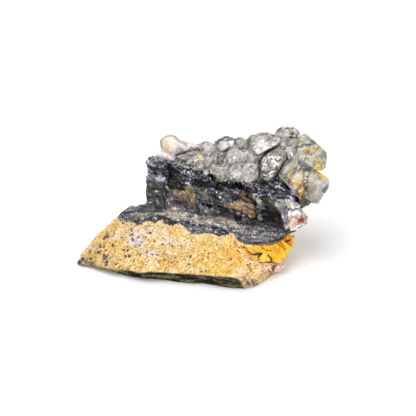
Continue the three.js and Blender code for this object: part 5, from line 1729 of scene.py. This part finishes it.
def make_crystals(rng):
    """The druse, and the lone crystals: each a clear shell with painted shade and light on its edges round a
    broken inside.
    """
    grey = crystal_look("grey_crystal", 0xA29A92, 0xCEC6BE, 0xF0EAE6)
    grey_heart = heart_look("grey_crystal_inside", 0x8A857B, 0xC6BFB4, 0xF0ECE6)
    edges = painted_rim_look()
    druse, druse_crystals = make_druse(grey, grey_heart, edges, rng)

    def grow(name, anchor, corners, shell, heart, inset, seed, stains, folds=(), lines=(),
             longest=0.32):
        """A crystal from its corners: the heart first, and the shell round it."""
        piece = carved(name + "_glass", anchor, corners)
        chip, tilt = (1.8, 0.9) if name == "clear" else (2.2, 0.5)
        make_heart(twin_of(piece, name + "_inside"), heart, inset, chip, tilt, seed, folds)
        finish_shell(piece, shell, name + "_crystal", stains=stains, lines=lines, longest=longest,
                     edge=edges)

    grow("right_top", RIGHT_TOP_AT, RIGHT_TOP_CORNERS, grey, grey_heart, 0.8, 62,
         RIGHT_TOP_STAINS_AND_SHADE, lines=RIGHT_TOP_FLECKS)
    grow("back_top", BACK_TOP_AT, BACK_TOP_CORNERS, grey, grey_heart, 0.8, 63,
         BACK_TOP_STAINS)
    grow("clear", CLEAR_AT, CLEAR_CORNERS, clear_look(), clear_heart_look(), 0.8, 66,
         CLEAR_FOLDS, folds=CLEAR_FOLDS, lines=CLEAR_LINES, longest=0.22)
    grow("streaked", STREAKED_AT, STREAKED_CORNERS,
         crystal_look("streaked_crystal", 0x948C78, 0xBFB6A0, 0xE0D9C8),
         heart_look("streaked_crystal_inside", 0x8A8370, 0xC4BBA6, 0xECE6D8), 0.7, 64, STREAKED_STAINS_AND_HIGHLIGHT,
         lines=STREAKED_FLECKS)
    grow("milky", MILKY_AT, MILKY_CORNERS,
         crystal_look("milky_crystal", 0xA89F90, 0xD2CABE, 0xF2EDE6, clarity=0.4, roughness=0.15, flaky=0.4),
         heart_look("milky_crystal_inside", 0x9A9280, 0xC6BDB0, 0xECE6DE), 0.7, 65, MILKY_STAINS_AND_SHADE)
    grow("red_stained", RED_AT, RED_CORNERS,
         crystal_look("red_stained_crystal", 0x94847A, 0xBCAEA6, 0xDCD4CE, clarity=0.0, roughness=0.3,
                      flaky=0.6, gloss=0.15),
         heart_look("red_stained_inside", 0xA8968C, 0xD2C2B8, 0xF2EAE4), 0.5, 67, RED_STAINS)
    everywhere = (0, 0, PIXELS, 0, PIXELS, PIXELS, 0, PIXELS)
    for name, anchor, tint, corners in SMALL_CRYSTALS:
        finish_shell(carved(name, anchor, corners), grey, stains=[(everywhere, tint, 0.9, 1)],
                     longest=0.8)
    make_crystal_grains(druse, druse_crystals, rng)

    pale = carved("pale_wall_glass", PALE_AT, PALE_CORNERS)
    dull = crystal_look("pale_crystal", 0x6E6850, 0x9C947A, 0xB8B098, clarity=0.2, roughness=0.2)
    finish_shell(pale, dull, "pale_wall_crystal", bevel=0.12, stains=PALE_STAINS)
    pink = copy_of("pink_crystal", "pink_glass")
    rosy = crystal_look("pink_crystal", 0xD09C88, 0xEABCA6, 0xFADCCC, clarity=0.15, roughness=0.15)
    finish_shell(pink, rosy, "pink_crystal", bevel=0.12, longest=0.8)


# The knob on the pillar: its middle, and the corners of its three parts.
KNOB_AT = (-15.5, 10.4, 36.3)
KNOB_PARTS = [
    (160, 142, 0, 161, 139, 0, 164, 136.4, -0.4, 168, 134.6, -0.8, 173, 134.8, -0.8, 177, 137.4, -0.6, 182,
     142, -0.4, 186, 146, 0, 186, 151, 0.4, 181, 153, 0.6, 174, 154.6, 0.8, 168, 155, 1, 163, 152, 0.8, 160.6,
     147, 0.4, 165, 141, 2.2, 172, 139, 1.6, 177, 145, 2.4, 170, 149, 3, 180, 149, 1.6, 164, 140, -4, 174,
     138, -4.5, 182, 146, -4, 166, 152, -3.6, 178, 152, -3.4),
    (176, 139, -1, 184, 143, -0.8, 190, 145, -0.8, 199, 145, -1, 201, 148, -1, 192, 150, 0, 186, 152, 0, 178,
     154, 0, 174, 150, 0, 182, 147, 1.2, 190, 147, 0.4, 180, 143, -4, 196, 147, -4, 180, 152, -4),
    (155.6, 154.4, 0.6, 160, 150.6, 0, 168, 152, 0, 176, 156, 0, 178, 161, 0, 175, 164, 0.4, 168, 161.4, 0.8,
     162, 158, 1, 157, 157, 1, 163, 153.6, 2.2, 170, 157, 2.4, 174, 160, 1.8, 160, 154, -3, 172, 158, -3),
]


# Stains of the knob, and a strip of painted shade below its tail: outline, colour, how fully it covers.
KNOB_STAINS_AND_SHADOW = [
    ((163, 136, 172, 135, 180, 140, 184, 145, 172, 144, 164, 142), 0xEEE2D4, 0.8),
    ((158, 140, 163, 138, 164, 149, 160, 149), 0xA09890, 0.9),
    ((162, 138, 168, 134.6, 174, 135, 180, 139.6, 188, 144, 186, 146, 178, 141, 173, 137, 167, 137, 163, 140),
     0x948678, 0.9), ((163.4, 138, 166.4, 139, 168.6, 147, 165, 148.6, 164, 143), 0xE8C27A, 0.75),
    ((169, 144, 173, 146, 173, 150, 169, 148), 0xEBD6B0, 0.8),
    ((161, 148, 169, 148, 169, 152, 162, 153), 0xD2AC98, 0.9),
    ((166, 151, 171, 151, 170, 155, 167, 155), 0xEFCB86, 0.9),
    ((156, 153, 162, 153, 176, 161, 172, 164, 160, 158), 0xF4ECEA, 0.9),
    # Painted shade below the knob's tail.
    ((175, 155, 186, 151.4, 192, 148, 191, 151, 182, 155), 0x66645C, 0.9),
]


def make_knob():
    """The white knob: two lumps and a tail, melted together."""
    parts = [carved(f"knob_part_{index}", KNOB_AT, corners) for index, corners in enumerate(KNOB_PARTS)]
    piece = join_pieces("calcite_knob", parts)
    remesh(piece, KNOB_VOXEL)
    apply_modifier(piece, "SMOOTH", factor=0.8, iterations=16)
    points, normals = points_of(piece), normals_of(piece)
    cleavage = noise(drawn_out(points, STRATA, 3), 0.9, seed=73)
    points += normals * (0.3 + 0.22 * noise(points, 2.6, seed=71) + 0.08 * cleavage)[:, None]
    move_points(piece, points)
    paint = Paint(piece)
    for outline, hex_code, strength in KNOB_STAINS_AND_SHADOW:
        paint.lay(paint.where(outline, 2.4, 1.4), hex_code, strength)
    paint.store()
    finish_piece(piece, calcite_look(), "white_calcite_knob")


# ---------------------------------------------------------------- stage, light and camera
def area_light(name, place, size, power):
    """A soft white square light, turned to the middle of the specimen."""
    light = bpy.data.lights.new(name, "AREA")
    light.energy = power
    light.size = size
    lamp = bpy.data.objects.new(name, light)
    lamp.location = place
    lamp.rotation_euler = (Vector((0, 0, 0.02)) - Vector(place)).to_track_quat("-Z", "Y").to_euler()
    bpy.context.scene.collection.objects.link(lamp)


def make_stage():
    """A pale floor in soft white light."""
    bpy.ops.mesh.primitive_plane_add(size=4)
    floor = bpy.context.object
    floor.name = "floor"
    look = Look("pale_floor", roughness=0.9, base_color=colour(0xFAFAFA))
    floor.data.materials.append(look.material)
    world = bpy.data.worlds.new("studio")
    world.use_nodes = True
    world.node_tree.nodes["Background"].inputs["Color"].default_value = (1, 1, 1, 1)
    world.node_tree.nodes["Background"].inputs["Strength"].default_value = 0.5
    bpy.context.scene.world = world
    area_light("key", (-0.12, -0.16, 0.6), 0.5, 2.8)
    area_light("fill", (0.4, -0.45, 0.3), 0.4, 1.0)
    area_light("rim", (0.15, 0.45, 0.4), 0.3, 0.8)
    bpy.context.scene.view_settings.view_transform = "Standard"


def make_camera():
    """The camera that the view's outlines belong to."""
    camera = bpy.data.cameras.new("camera")
    camera.lens, camera.sensor_width = LENS, SENSOR
    camera.clip_start, camera.clip_end = 0.01, 20
    holder = bpy.data.objects.new("camera", camera)
    holder.location = Vector((EYE + SHIFT) * MM)
    holder.rotation_euler = Vector(-BACK).to_track_quat("-Z", "Y").to_euler()
    bpy.context.scene.collection.objects.link(holder)
    bpy.context.scene.camera = holder


def main():
    """Makes every piece, then the stage. The order is that of the random draws."""
    rng = np.random.default_rng(2718)
    make_camera()
    sandstone = make_sandstone()
    crust = make_crust()
    galena = make_galena()
    rock = surface_tree(sandstone, galena, crust)
    make_galena_grains(galena, surface_tree(galena), rng)
    make_seam(galena)
    make_specks(surface_tree(sandstone), rng)
    make_sand(rock, rng)
    make_crystals(rng)
    make_knob()
    make_stage()


main()
